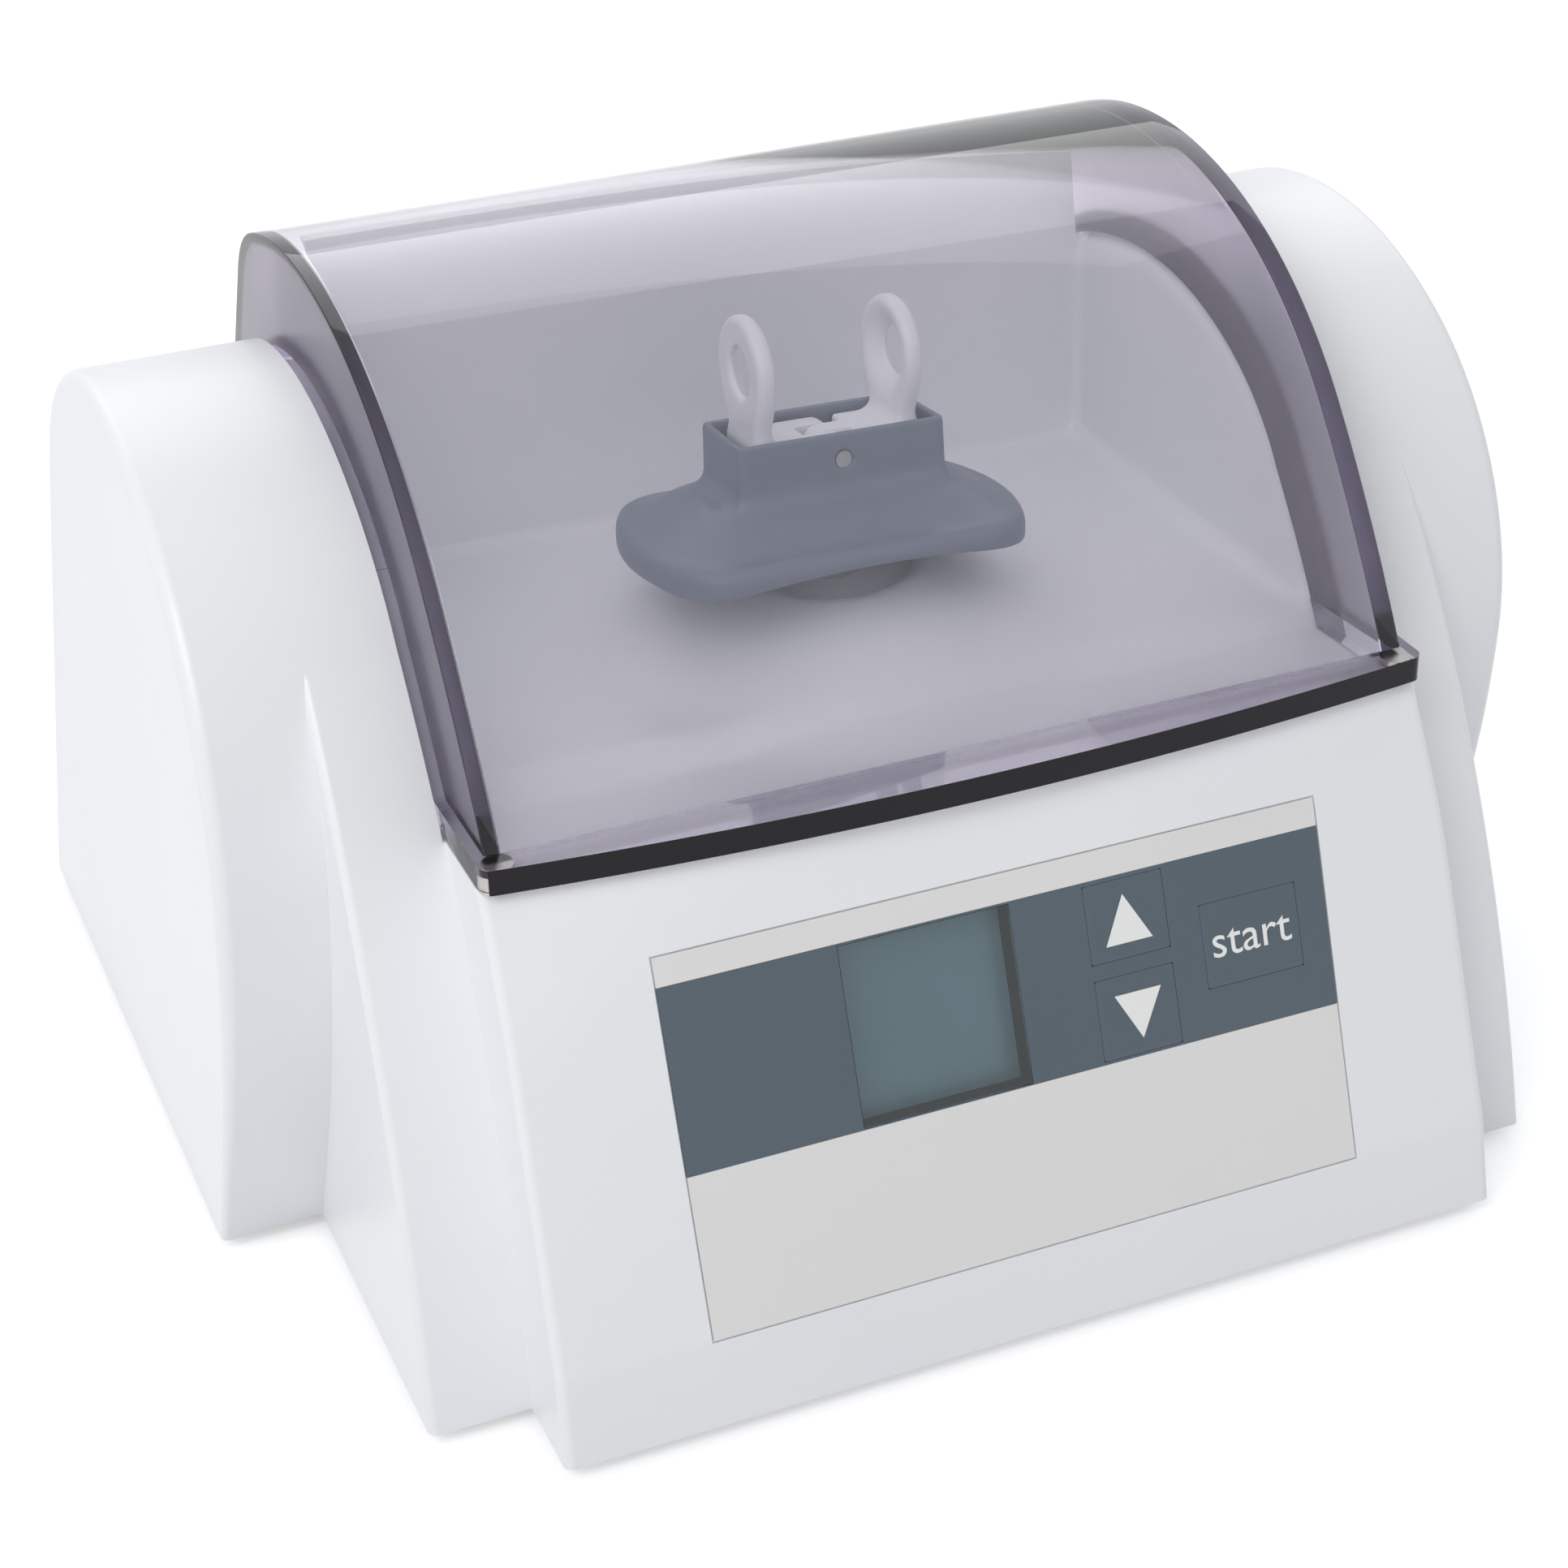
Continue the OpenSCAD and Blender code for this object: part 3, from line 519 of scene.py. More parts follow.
# %% [markdown]
# ## The back wall and the inside
# A thin wall, seen through the lid, closes the chamber toward the hinge. The shell is hollow, because a
# thick moulding would sink in as it cools, and the drive and the supply need the room.

# %% The back wall above the rebate, and the hollow inside
WALL_SIDE = [(92.5, 120), (92.5, 150), (90.6, 152), (87.6, BACK_WALL_Z)]
DOME_WALL, UNDER_DOME_Z = 2.5, 60
UNDER = -60.0

wall_outline = WALL_SIDE + [(-x, z) for x, z in WALL_SIDE[::-1]]
back_wall = rings_to_piece("back_wall", [np.array([(x, y, z) for x, z in wall_outline])
                                         for y in (BACK_WALL_Y + WALL, BACK_WALL_Y)])
join(housing_shell, back_wall)

rooms = block_box("rooms", (-ASIDE, -50, UNDER), (ASIDE, SEAT_ROOF_Y + 1, SEAT_Z - WALL))
rooms_to_join = [("under_floor", (-ASIDE, SEAT_ROOF_Y), (ASIDE, BEHIND), FLOOR_Z - WALL)]
for side in (-1, 1):
    x0, x1 = sorted((side * (REBATE_HALF_W + WALL + 0.4), side * ASIDE))
    rooms_to_join.append(("in_wing", (x0, -50), (x1, BEHIND), 200))
rooms_to_join.append(("under_shelf", (-ASIDE, BACK_WALL_Y + 2 * WALL), (ASIDE, BEHIND), SHELF_Z - WALL))
for name, low, high, top in rooms_to_join:
    join(rooms, block_box(name, (*low, UNDER), (*high, top)))
hollow = blocks("hollow", WALL + 0.3, 1.0)
combine(hollow, rooms, "INTERSECT")


def under_dome(x, y, z):
    """Distance to the hollow half of the dome."""
    return np.maximum(from_swing(x, y, z) - DOME_R + DOME_WALL, UNDER_DOME_Z - z)


points, quads = skin(under_dome, (-84, 24, 54), (84, 194, 122), 4.0)
join(hollow, make_piece("under_dome", points, quads))
cut(housing_shell, hollow)
print("hollowed:", len(housing_shell.data.polygons), "faces")

# %% [markdown]
# ## Cutting the openings
# The pocket for the panel, the window, the keys' holes and the two openings in the rear have crisp
# edges on the real moulding, so plain blocks cut them.

# %% Frames on the sloping front and on the rear
def panel_frame(points):
    """From the panel's own plane (across, up the slope, out) to the drawing."""
    p = np.asarray(points, float)
    c, s = cos(PANEL_LEAN), sin(PANEL_LEAN)
    return np.stack([p[:, 0], PANEL_Y + p[:, 1] * s - p[:, 2] * c, PANEL_Z + p[:, 1] * c + p[:, 2] * s], 1)


def rear_frame(centre, points):
    """From a plane on the rear face (to the machine's left, up, out) to the drawing."""
    p = np.asarray(points, float)
    c, s = cos(REAR_LEAN), sin(REAR_LEAN)
    y0 = BODY_DEPTH - centre[1] * tan(REAR_LEAN)
    return np.stack([centre[0] - p[:, 0], y0 - p[:, 1] * s + p[:, 2] * c, centre[1] + p[:, 1] * c + p[:, 2] * s], 1)


# %% The openings, each a little larger than what goes into it
PANEL_W, PANEL_H, POCKET_GAP, POCKET_D = 137.5, 74.2, 0.35, 0.6
WINDOW, WINDOW_GAP = (-33.1, 32.5, 35.1, 35.5), 1.3  # u, v, width and height on the panel
KEYS = {"key_up": (17.7, 52.3, 16.4, 15.1), "key_down": (17.7, 33, 16.4, 15.6),
        "key_start": (41.6, 41.9, 20.6, 16.4)}
KEY_GAP, KEY_ROOM_D = 0.3, 1.6
REAR_HOLES = (("inlet_hole", (64, 36), (14, 17)), ("switch_hole", (20, 36), (11, 14)))

openings = [("pocket", (-PANEL_W / 2, 0, PANEL_W, PANEL_H), POCKET_GAP, POCKET_D, 9),
            ("window", WINDOW, WINDOW_GAP, 20, 1)]
openings += [(name + "_room", key, KEY_GAP, KEY_ROOM_D, 1) for name, key in KEYS.items()]
cuts = []
for name, (u, v, w, h), gap, deep, out in openings:
    corners = panel_frame(box_points((u - gap, v - gap, -deep), (u + w + gap, v + h + gap, out)))
    cuts.append(make_piece(name, corners, BOX_FACES))
for name, centre, (half_w, half_h) in REAR_HOLES:
    corners = rear_frame(centre, box_points((-half_w, -half_h, -12), (half_w, half_h, 8)))
    cuts.append(make_piece(name, corners, BOX_FACES))
for opening in cuts:
    cut(housing_shell, opening)
shade(housing_shell, 30)
weigh = housing_shell.modifiers.new("weighted", "WEIGHTED_NORMAL")
weigh.keep_sharp = True
bake(housing_shell)
print("housing:", len(housing_shell.data.polygons), "faces")

# %% [markdown]
# ## The clear lid
# One moulding of tinted acrylic that keeps noise and a burst capsule in: a 2.4 mm sheet over the arch,
# between two side walls of 3.2 mm whose lower edges follow the rebates.

# %% The lid's sheet and side walls
LID_INSIDE_W = LID_HALF_W - LID_SIDE_WALL
LID_BASE_Z, LID_REAR_Z = 95.0, 146
lid_shell = rounded_slab("lid_shell", side_outline(LID_ARCS, 0.0, LID_BASE_Z), LID_HALF_W, 0.5, draft=0, turns=3,
                         lines=(-LID_INSIDE_W, LID_INSIDE_W))
lid_inside = rounded_slab("lid_inside", side_outline(LID_ARCS, LID_WALL, LID_BASE_Z - 10), LID_INSIDE_W, 0.8,
                          draft=0, turns=3)
cut(lid_shell, lid_inside)
cut_by_arches(lid_shell, REBATE_D - 0.5)
cut(lid_shell, block_box("below_rear", (-130, 172, 70), (130, 270, LID_REAR_Z)))
cut(lid_shell, block_box("below_front", (-130, -10, 70), (130, 80, SEAT_Z + LID_GAP)))
print("lid sheet:", len(lid_shell.data.polygons), "faces")

# %% [markdown]
# ## The lid's flange and foot strips
# The flange is the thick bowed bar that a finger lifts, with two arms back along the rebates. The foot
# strips behind them spread the lid's weight.

# %% The flange and the foot strips
FLANGE_T, FLANGE_HALF_W, FLANGE_R, FLANGE_FRONT_Y, FLANGE_CORNER = 5.2, 97.0, 747.0, 29.4, 2.5
FLANGE_Z0 = SEAT_Z + LID_GAP
FLANGE_Z1 = SEAT_Z + LID_GAP + FLANGE_T
FLANGE_BACK_Y, FLANGE_ARM_Y, FLANGE_ARM_W = 42.5, 68, 5.5
STRIP_D, STRIP_HALF_W, STRIP_INNER_W = 1.8, 120, 91.8


def flange_outline():
    """The flange seen from above, counter-clockwise."""
    flat, arm = FLANGE_HALF_W - FLANGE_CORNER, FLANGE_HALF_W - FLANGE_ARM_W
    bow = lambda x: FLANGE_FRONT_Y + FLANGE_R - sqrt(FLANGE_R ** 2 - x * x)
    front = [(x, bow(x)) for x in np.linspace(-flat, flat, 41)]
    turn = [radians(a) for a in (15, 30, 45, 60, 75, 90)]
    right = [(flat + FLANGE_CORNER * sin(t), bow(flat) + FLANGE_CORNER * (1 - cos(t))) for t in turn]
    left = [(-x, y) for x, y in right[::-1]]
    back = [(FLANGE_HALF_W, FLANGE_ARM_Y), (arm, FLANGE_ARM_Y), (arm, FLANGE_BACK_Y)]
    return left + front + right + back + [(-x, y) for x, y in back[::-1]]


flange = rings_to_piece("flange", [[(x, y, z) for x, y in flange_outline()] for z in (FLANGE_Z0, FLANGE_Z1)])
cut_by_arches(flange, REBATE_D - 0.5)
join(lid_shell, flange)

feet = rounded_slab("feet", side_outline(WING_ARCS, STRIP_D), STRIP_HALF_W, 0.4, turns=2)
join(feet, rounded_slab("mid_feet", mid_outline(STRIP_D), STRIP_HALF_W, 0.4, turns=2))
cut_by_arches(feet, REBATE_D - 0.5)
combine(feet, block_box("keep", (-FLANGE_HALF_W, 50, FLANGE_Z0), (FLANGE_HALF_W, 172, 200)), "INTERSECT")
cut(feet, block_box("middle", (-STRIP_INNER_W, 0, 50), (STRIP_INNER_W, 300, 250)))
join(lid_shell, feet)
print("lid with its flange:", len(lid_shell.data.polygons), "faces")

# %% [markdown]
# ## The hinge
# Two steel pins carry the lid behind the back wall: the lid has a barrel for each, and the housing a
# bracket on either side of it, so each pin is held at both ends.

# %% The lid's barrels and the housing's brackets
BARREL_ENDS = ((-74, -58), (58, 74))
BRACKET_W, BRACKET_STARTS = 7.6, (50, 74.4, -57.6, -82)
LID_BORE_R, BRACKET_BORE_R, WEB_TOP_Z = 2.05, 2.02, 146.5


def bar_x(name, outline, x0, x1):
    """A bar along X with that outline (y, z)."""
    return rings_to_piece(name, [[(x, y, z) for y, z in outline] for x in (x0, x1)])


def hinge_circle(radius, count=48):
    """Corner points of a circle round the hinge's axis."""
    turns = [2 * pi * i / count for i in range(count)]
    return [(HINGE_Y + radius * cos(t), HINGE_Z + radius * sin(t)) for t in turns]


web = [(HINGE_Y, HINGE_Z), (HINGE_Y + HINGE_R, HINGE_Z), (HINGE_Y + 3, WEB_TOP_Z), (HINGE_Y + 0.4, WEB_TOP_Z)]
for x0, x1 in BARREL_ENDS:
    join(lid_shell, bar_x("web", web, x0, x1))
    join(lid_shell, bar_x("barrel", hinge_circle(HINGE_R), x0, x1))
cut(lid_shell, bar_x("pin_bore", hinge_circle(LID_BORE_R), -90, 90))
shade(lid_shell, 25)
print("lid:", len(lid_shell.data.polygons), "faces")

bracket_side = [(186, SHELF_Z - 1), (200.5, SHELF_Z - 1),
                (HINGE_Y + 3.5, HINGE_Z - 3.5), (HINGE_Y - 3.5, HINGE_Z + 3.5)]
hinge_brackets = None
for x0 in BRACKET_STARTS:
    bracket = bar_x("hinge_brackets", bracket_side, x0, x0 + BRACKET_W)
    join(bracket, bar_x("knuckle", hinge_circle(HINGE_R), x0, x0 + BRACKET_W))
    cut(bracket, bar_x("bore", hinge_circle(BRACKET_BORE_R), x0 - 1, x0 + BRACKET_W + 1.4))
    if hinge_brackets:
        join(hinge_brackets, bracket)
    else:
        hinge_brackets = bracket
shade(hinge_brackets, 30)
print("brackets:", len(hinge_brackets.data.polygons), "faces")

# %% [markdown]
# ## The capsule fork
# Its head is one soft moulding: a boat-shaped skirt that hides the dome's opening, and a box on top that
# holds the arms. It stands tilted, as the inclined hub below holds it.

# %% The head of the fork
FORK_Z, PIN_W, PIN_HOLE_R = 148.4, -5.4, 1.95
TURN_X, TURN_Y, TURN_Z = (Matrix.Rotation(radians(tilt), 3, axis)
                          for axis, tilt in (("X", -5.5), ("Y", 2.2), ("Z", 1.8)))
FORK_TURN = np.array(TURN_Z @ TURN_Y @ TURN_X)
SKIRT_R, SKIRT_SHIFT, SKIRT_HALF_D, SKIRT_TOP_W, SKIRT_LOW_W = 42.4, 1.6, 26.5, -18.3, -24.7
BOX_HALF_W, BOX_HALF_D, BOX_H = 22.8, 10, 12.7


def fork_frame(points):
    """From the fork's own frame (across, back, up from its top) to the drawing."""
    return np.asarray(points, float) @ FORK_TURN.T + np.array([0, SWING[1], FORK_Z])


def fork_head(u, v, w):
    """A hollow skirt with a domed top, a box on it, its slot and the pin's holes."""
    plan = soft_both(np.hypot(u + SKIRT_SHIFT, v) - SKIRT_R, np.abs(v) - SKIRT_HALF_D, 6.0)
    top = w - (SKIRT_TOP_W + 6.0 * smooth_rise((-plan - 2) / 15))
    low = SKIRT_LOW_W + 2.2 * (1 - (u / 34) ** 2) * smooth_rise((np.abs(v) - 8) / 14) - w
    form = soft_both(rounded_edge(plan, top * 0.95, 2.8), low, 2.0)
    flare_u, flare_v = 0.4 * (-w / BOX_H), 0.3 * w / BOX_H
    sides = rounded_edge(np.abs(u) - (BOX_HALF_W + flare_u), np.abs(v) - BOX_HALF_D + flare_v, 1.6)
    form = soft_join(form, rounded_edge(sides, np.maximum(w, -w - 17), 0.7), 3.5)
    form = soft_cut(form, np.maximum(plan + 2.6, w + 20.3), 1.5)
    slot = rounded_edge(rounded_edge(np.abs(u) - 21.2, np.abs(v) - 8.4, 1.0), -w - 13.7, 0.5)
    form = soft_cut(form, slot, 0.8)
    return soft_cut(form, np.maximum(np.hypot(u, w - PIN_W) - PIN_HOLE_R, 9.6 - np.abs(v)), 0.3)


points, quads = skin(fork_head, (-45, -29, -28), (45, 29, 2), 0.6)
fork_head_piece = make_piece("fork_head", fork_frame(points), quads, 40)
print("fork head:", len(quads), "quads")

# %% [markdown]
# ## The two arms
# Each is a racket of milky plastic whose eyelet takes one end of the capsule. The holes flare inward so
# that the capsule finds its seat, and the feet meet in a finger joint on one pin.

# %% The arms
EYE_X, EYE_T, EYE_R, EYE_Z = 15.9, 4.0, 11.0, 11.9
EYE_HOLE_R, EYE_FLARE = 4.8, 3.2
ARM_W, FOOT_W0, FOOT_W1, KNUCKLE_R, ARM_BORE_R = 14.5, -7.6, -1.6, 3.8, 1.75
ARMS = (("arm_left", ((-7.25, -2.9), (2.9, 7.25)), 1), ("arm_right", ((-2.5, 2.5),), -1))


def arm(knuckles):
    """The distance to a left arm whose finger joint has these knuckles."""
    def form(u, v, w):
        from_eye, from_pin = np.hypot(v, w - EYE_Z), np.hypot(u, w - PIN_W)
        neck = np.maximum(np.abs(v) - ARM_W / 2, np.maximum(w - EYE_Z, FOOT_W0 - w))
        racket = rounded_edge(soft_join(from_eye - EYE_R, neck, 5.0), np.abs(u + EYE_X) - EYE_T / 2, 1.7)
        foot = brick(u, v, w, (-EYE_X - 1.5, -ARM_W / 2, FOOT_W0), (-5.2, ARM_W / 2, FOOT_W1), 0.8)
        body = soft_join(racket, foot, 3.5)
        for low, high in knuckles:
            width = np.abs(v - (low + high) / 2) - (high - low) / 2
            finger = brick(u, v, w, (-8, low, FOOT_W0), (0, high, FOOT_W1), 0.3)
            knuckle = np.minimum(np.maximum(from_pin - KNUCKLE_R, width), np.maximum(finger, width))
            body = np.minimum(body, knuckle)
        flare = EYE_HOLE_R + EYE_FLARE * np.clip((u + EYE_X + 0.8) / 2.8, 0, 1)
        body = soft_cut(body, (from_eye - flare) * 0.8, 1.4)
        return np.maximum(body, ARM_BORE_R - from_pin)
    return form


arm_pieces = {}
for name, knuckles, mirror in ARMS:
    points, quads = skin(arm(knuckles), (-20, -13, -11), (6, 13, 25), 0.42)
    points[:, 0] *= mirror
    arm_pieces[name] = make_piece(name + "_moulding", fork_frame(points), quads[:, ::mirror], 40)
    print(name, len(quads), "quads")

# %% [markdown]
# ## Keys and their signs
# The keys are pads embossed in the band's foil: a faint raised frame that a fingertip finds. Each is
# built from its outline at a few heights.

# %% Keys with rounded pads
PAD_LAYERS = ((-0.22, 0.5, -0.6), (-0.22, 0.5, -0.03), (0.1, 0.5, 0.06), (0.5, 0.6, 0.14),
              (1.3, 0.6, 0.14), (1.9, 0.6, 0.07), (2.6, 0.5, 0.05))  # set in, corner radius, height


def rounded_rect(u0, v0, u1, v1, radius, steps=6):
    """Corner points of a rectangle with rounded corners, counter-clockwise."""
    out = []
    for (cu, cv), start in (((u1 - radius, v0 + radius), -90), ((u1 - radius, v1 - radius), 0),
                            ((u0 + radius, v1 - radius), 90), ((u0 + radius, v0 + radius), 180)):
        for i in range(steps + 1):
            a = radians(start + 90 * i / steps)
            out.append((cu + radius * cos(a), cv + radius * sin(a)))
    return out


def on_panel(name, layers):
    """A closed piece on the panel through outlines (u, v) at heights."""
    return rings_to_piece(name, [panel_frame([(u, v, w) for u, v in outline]) for outline, w in layers])


key_pads = {}
for name, (u, v, w, h) in KEYS.items():
    layers = [(rounded_rect(u + g, v + g, u + w - g, v + h - g, r), height) for g, r, height in PAD_LAYERS]
    key_pads[name] = on_panel(name + "_pad", layers)
    shade(key_pads[name], 50)
print("key pads:", ", ".join(key_pads))

# %% [markdown]
# ## The signs
# Up and down are solid triangles and the third key carries a plain word, screen-printed in white. They
# are thin slabs just above the pads, so that their edges stay clean.

# %% Triangles and the word
UP = [(20.9, 55.0), (30.9, 55.0), (25.6, 64.6)]
DOWN = [(26.2, 35.7), (31.2, 45.1), (21.2, 45.1)]
INK_W0, INK_W1, INK_T = 0.04, 0.12, 0.04
WORD_U0, WORD_U1, WORD_V0 = 43.3, 60.6, 47.4

signs = {"key_up": on_panel("up_triangle", [(UP, INK_W0), (UP, INK_W1)]),
         "key_down": on_panel("down_triangle", [(DOWN, INK_W0), (DOWN, INK_W1)])}

words = bpy.data.curves.new("start_word", "FONT")
words.body = "start"
words.extrude = 0.004
words.resolution_u = 6
word_object = new_object("start_word", words)
flat = final_mesh(word_object)
bpy.data.objects.remove(word_object)
xyz = np.array([tuple(p.co) for p in flat.vertices])
low, high = xyz.min(0), xyz.max(0)
grow = (WORD_U1 - WORD_U0) / (high[0] - low[0])
letters = np.column_stack([WORD_U0 + (xyz[:, 0] - low[0]) * grow, WORD_V0 + (xyz[:, 1] - low[1]) * grow,
                           INK_W1 - INK_T + (xyz[:, 2] - low[2]) / (high[2] - low[2]) * INK_T])
signs["key_start"] = make_piece("start_label", panel_frame(letters), [list(p.vertices) for p in flat.polygons])
bpy.data.meshes.remove(flat)
print("signs:", ", ".join(sign.name for sign in signs.values()))

# %% [markdown]
# ## Finishes
# Every finish starts from the real material and how its surface was made. All have a slow drift of
# colour and a fine grain, because no moulding, foil or casting is perfectly even.

# %% How a finish is built
def linear(hex_colour):
    """An sRGB colour written as hex, as the linear values of a shader."""
    channels = [int(hex_colour[i:i + 2], 16) / 255 for i in (1, 3, 5)]
    return tuple(c / 12.92 if c <= 0.04045 else ((c + 0.055) / 1.055) ** 2.4 for c in channels) + (1.0,)


def add(tree, kind, inputs=None, **settings):
    """Adds a shader node, sets its properties, and sets or links its inputs."""
    node = tree.nodes.new("ShaderNode" + kind)
    for key, value in settings.items():
        setattr(node, key, value)
    for key, value in (inputs or {}).items():
        if isinstance(value, bpy.types.NodeSocket):
            tree.links.new(value, node.inputs[key])
        else:
            node.inputs[key].default_value = value
    return node


def blank_tree(owner):
    """The empty node tree of a material or a world."""
    owner.use_nodes = True
    owner.node_tree.nodes.clear()
    return owner.node_tree


def moulded(name, dark, light, roughness, grain_mm, bump, ior=1.5, metallic=0.0, mottle_mm=60.0, **shader):
    """An opaque finish: a drift between two close tones, and a grain of that size and strength."""
    finish = bpy.data.materials.new(name)
    tree = blank_tree(finish)
    place = add(tree, "TexCoord").outputs["Object"]
    drift = add(tree, "TexNoise", {"Vector": place, "Scale": 1 / (mottle_mm * MM), "Detail": 3.0})
    tones = {"Factor": drift.outputs["Fac"], "A": linear(dark), "B": linear(light)}
    tone = add(tree, "Mix", tones, data_type="RGBA")
    grain = add(tree, "TexNoise", {"Vector": place, "Scale": 1 / (grain_mm * MM), "Detail": 2.0})
    rough = add(tree, "MapRange",
                {"Value": grain.outputs["Fac"], "To Min": roughness * 0.9, "To Max": roughness * 1.1})
    relief = add(tree, "Bump", {"Height": grain.outputs["Fac"], "Strength": bump, "Distance": 0.05 * MM})
    surface = add(tree, "BsdfPrincipled",
                  {"Base Color": tone.outputs["Result"], "Roughness": rough.outputs["Result"], "IOR": ior,
                   "Metallic": metallic, "Normal": relief.outputs["Normal"], **shader})
    add(tree, "OutputMaterial", {"Surface": surface.outputs["BSDF"]})
    return finish


def clear_plastic(name, tint, roughness, ripple_mm, strength, height_mm, absorbs=None):
    """A clear plastic with long, shallow waves. absorbs (colour, density) darkens it by its depth."""
    finish = bpy.data.materials.new(name)
    tree = blank_tree(finish)
    place = add(tree, "TexCoord").outputs["Object"]
    ripple = add(tree, "TexNoise", {"Vector": place, "Scale": 1 / (ripple_mm * MM), "Detail": 1.0})
    wave = add(tree, "Bump",
               {"Height": ripple.outputs["Fac"], "Strength": strength, "Distance": height_mm * MM})
    clear = add(tree, "BsdfPrincipled",
                {"Base Color": linear(tint), "Roughness": roughness, "IOR": 1.49,
                 "Transmission Weight": 1.0, "Normal": wave.outputs["Normal"]})
    result = {"Surface": clear.outputs["BSDF"]}
    if absorbs:
        colour, density = absorbs
        depth = add(tree, "VolumeAbsorption", {"Color": colour, "Density": density})
        result["Volume"] = depth.outputs["Volume"]
    add(tree, "OutputMaterial", result)
    return finish


# %% [markdown]
# ## What is seen in the photograph
# In order: two close tones, roughness, the grain's size in millimetres and strength, refractive index.

# %% The outer finishes
# ABS from a polished tool: a soft gloss in which the lamps show as wide, dim patches.
white_abs = moulded("white_abs_gloss_moulded", "#eceef1", "#f3f4f6", 0.34, 0.9, 0.12, 1.53)
# Polyester foil with a matt front: an even light grey that mirrors nothing.
panel_foil = moulded("light_polyester_foil_matt", "#e3e2e1", "#e8e7e5", 0.5, 0.5, 0.15, 1.55)
# The same foil, printed slate blue and glossier, so that the keys' raised frames catch light.
band_foil = moulded("slate_printed_foil", "#4a5864", "#525f6a", 0.32, 0.5, 0.12, 1.55)
# The rear polariser of a display that is off: grey-green and dull.
display_glass_grey = moulded("display_polariser_grey", "#69848f", "#7d98a4", 0.25, 0.4, 0.05, 1.5, mottle_mm=30.0)
# Screen-printed ink: opaque white with no gloss.
white_ink = moulded("white_screen_ink", "#eeeeec", "#f6f6f4", 0.5, 0.3, 0.1)
# Moulded nylon: dense colour, with a sheen only along the rims.
fork_plastic = moulded("blue_grey_nylon_moulded", "#757f8f", "#7f8998", 0.42, 0.5, 0.2, 1.53)
# Moulded acetal: milky white and waxy beside the gloss of the shell.
arm_plastic = moulded("milky_acetal_moulded", "#f0f1f4", "#f5f6f8", 0.4, 0.6, 0.1, 1.48)
# Acrylic dyed smoke violet in its depth, so a look along the sheet is darker than through it.
SMOKE_DYE = ((0.43, 0.33, 0.56, 1.0), 64.0)
lid_clear = clear_plastic("smoke_acrylic_polished", "#ffffff", 0.02, 40, 1.0, 0.01, SMOKE_DYE)
# The side walls drag on the tool when it opens, which leaves them satin and a bit milky.
lid_satin = clear_plastic("smoke_acrylic_satin_side", "#cdc8d3", 0.3, 40, 1.0, 0.01, SMOKE_DYE)
# The flange's front edge, where a look through 12 mm of dyed acrylic comes back nearly black: the dye is real, but
# this opaque near-black face is painted shade for what is seen through the edge.
lid_edge_painted_shade = moulded("smoke_acrylic_edge_painted_shade", "#120f14", "#1a161c", 0.25, 0.6, 0.05, 1.49,
                   **{"Specular IOR Level": 0.25})
# Clear pressed acrylic with a faint cold tone.
display_window = clear_plastic("clear_display_window", "#dfe8ea", 0.03, 12, 0.05, 0.2)
print("finishes so far:", len(bpy.data.materials))

# %% [markdown]
# ## What is inside, behind and below
# Seen from the rear, from below or with a body taken off: the finishes that such parts come with.

# %% The inner finishes
# Moulded rubber: black and dull, with a coarse skin.
black_rubber = moulded("black_rubber_moulded", "#141414", "#1e1e1f", 0.75, 0.4, 0.4, 1.52)
# Polyamide from a spark-eroded tool: black with a broad grey sheen.
black_plastic = moulded("black_polyamide_moulded", "#17181a", "#202124", 0.45, 0.4, 0.35, 1.53)
# Ground steel: bright, with fine streaks of light.
ground_steel = moulded("ground_steel", "#a9abad", "#b9babc", 0.3, 0.25, 0.2, metallic=1.0, mottle_mm=12.0)
# Turned steel: darker than ground steel, because its end face is left as cut.
pin_steel = moulded("turned_steel_pin", "#8d8f93", "#a3a5a8", 0.35, 0.25, 0.2, metallic=1.0, mottle_mm=6.0)
# Cast aluminium: light grey with a rough, sandy skin.
cast_aluminium = moulded("cast_aluminium", "#a7a9ab", "#bcbdbf", 0.5, 0.6, 0.5, metallic=1.0)
# Powder-coated sheet steel: dark grey with a fine orange peel.
coated_steel = moulded("powder_coated_steel", "#3a3c40", "#45474b", 0.55, 0.5, 0.5, 1.5)
# Enamel sprayed on the motor's case: even mid grey.
painted_motor = moulded("enamelled_motor_case", "#6d7176", "#7c8085", 0.4, 0.6, 0.3)
# A stack of punched sheets: dark, with the lines of its layers.
sheet_stack = moulded("stacked_lamination_steel", "#4a4b4d", "#5a5b5d", 0.5, 0.35, 0.6, metallic=1.0, mottle_mm=4.0)
# Copper wire under enamel: a red-brown metal that glints turn by turn.
copper_wire = moulded("enamelled_copper_wire", "#8c4a26", "#a45e33", 0.35, 0.5, 0.7, metallic=1.0, mottle_mm=3.0)
# Turned cast iron: dark grey and a little coarse from the tool.
cast_iron = moulded("turned_cast_iron", "#4b4c4e", "#5c5d5f", 0.5, 0.4, 0.4, metallic=1.0, mottle_mm=8.0)
# Nickel plate: the brightest metal here, with a warm tone.
nickel = moulded("nickel_plating", "#bdbab2", "#cbc8c0", 0.2, 0.3, 0.1, metallic=1.0, mottle_mm=10.0)
# Acetal milled from a block: ivory and matt.
acetal = moulded("machined_acetal", "#e4e2da", "#ecebe4", 0.5, 0.5, 0.2)
# Solder resist on a glass-fibre board: deep green with a shallow gloss.
board_green = moulded("circuit_board_resist", "#174b2c", "#1f5a36", 0.35, 0.5, 0.2, mottle_mm=8.0)
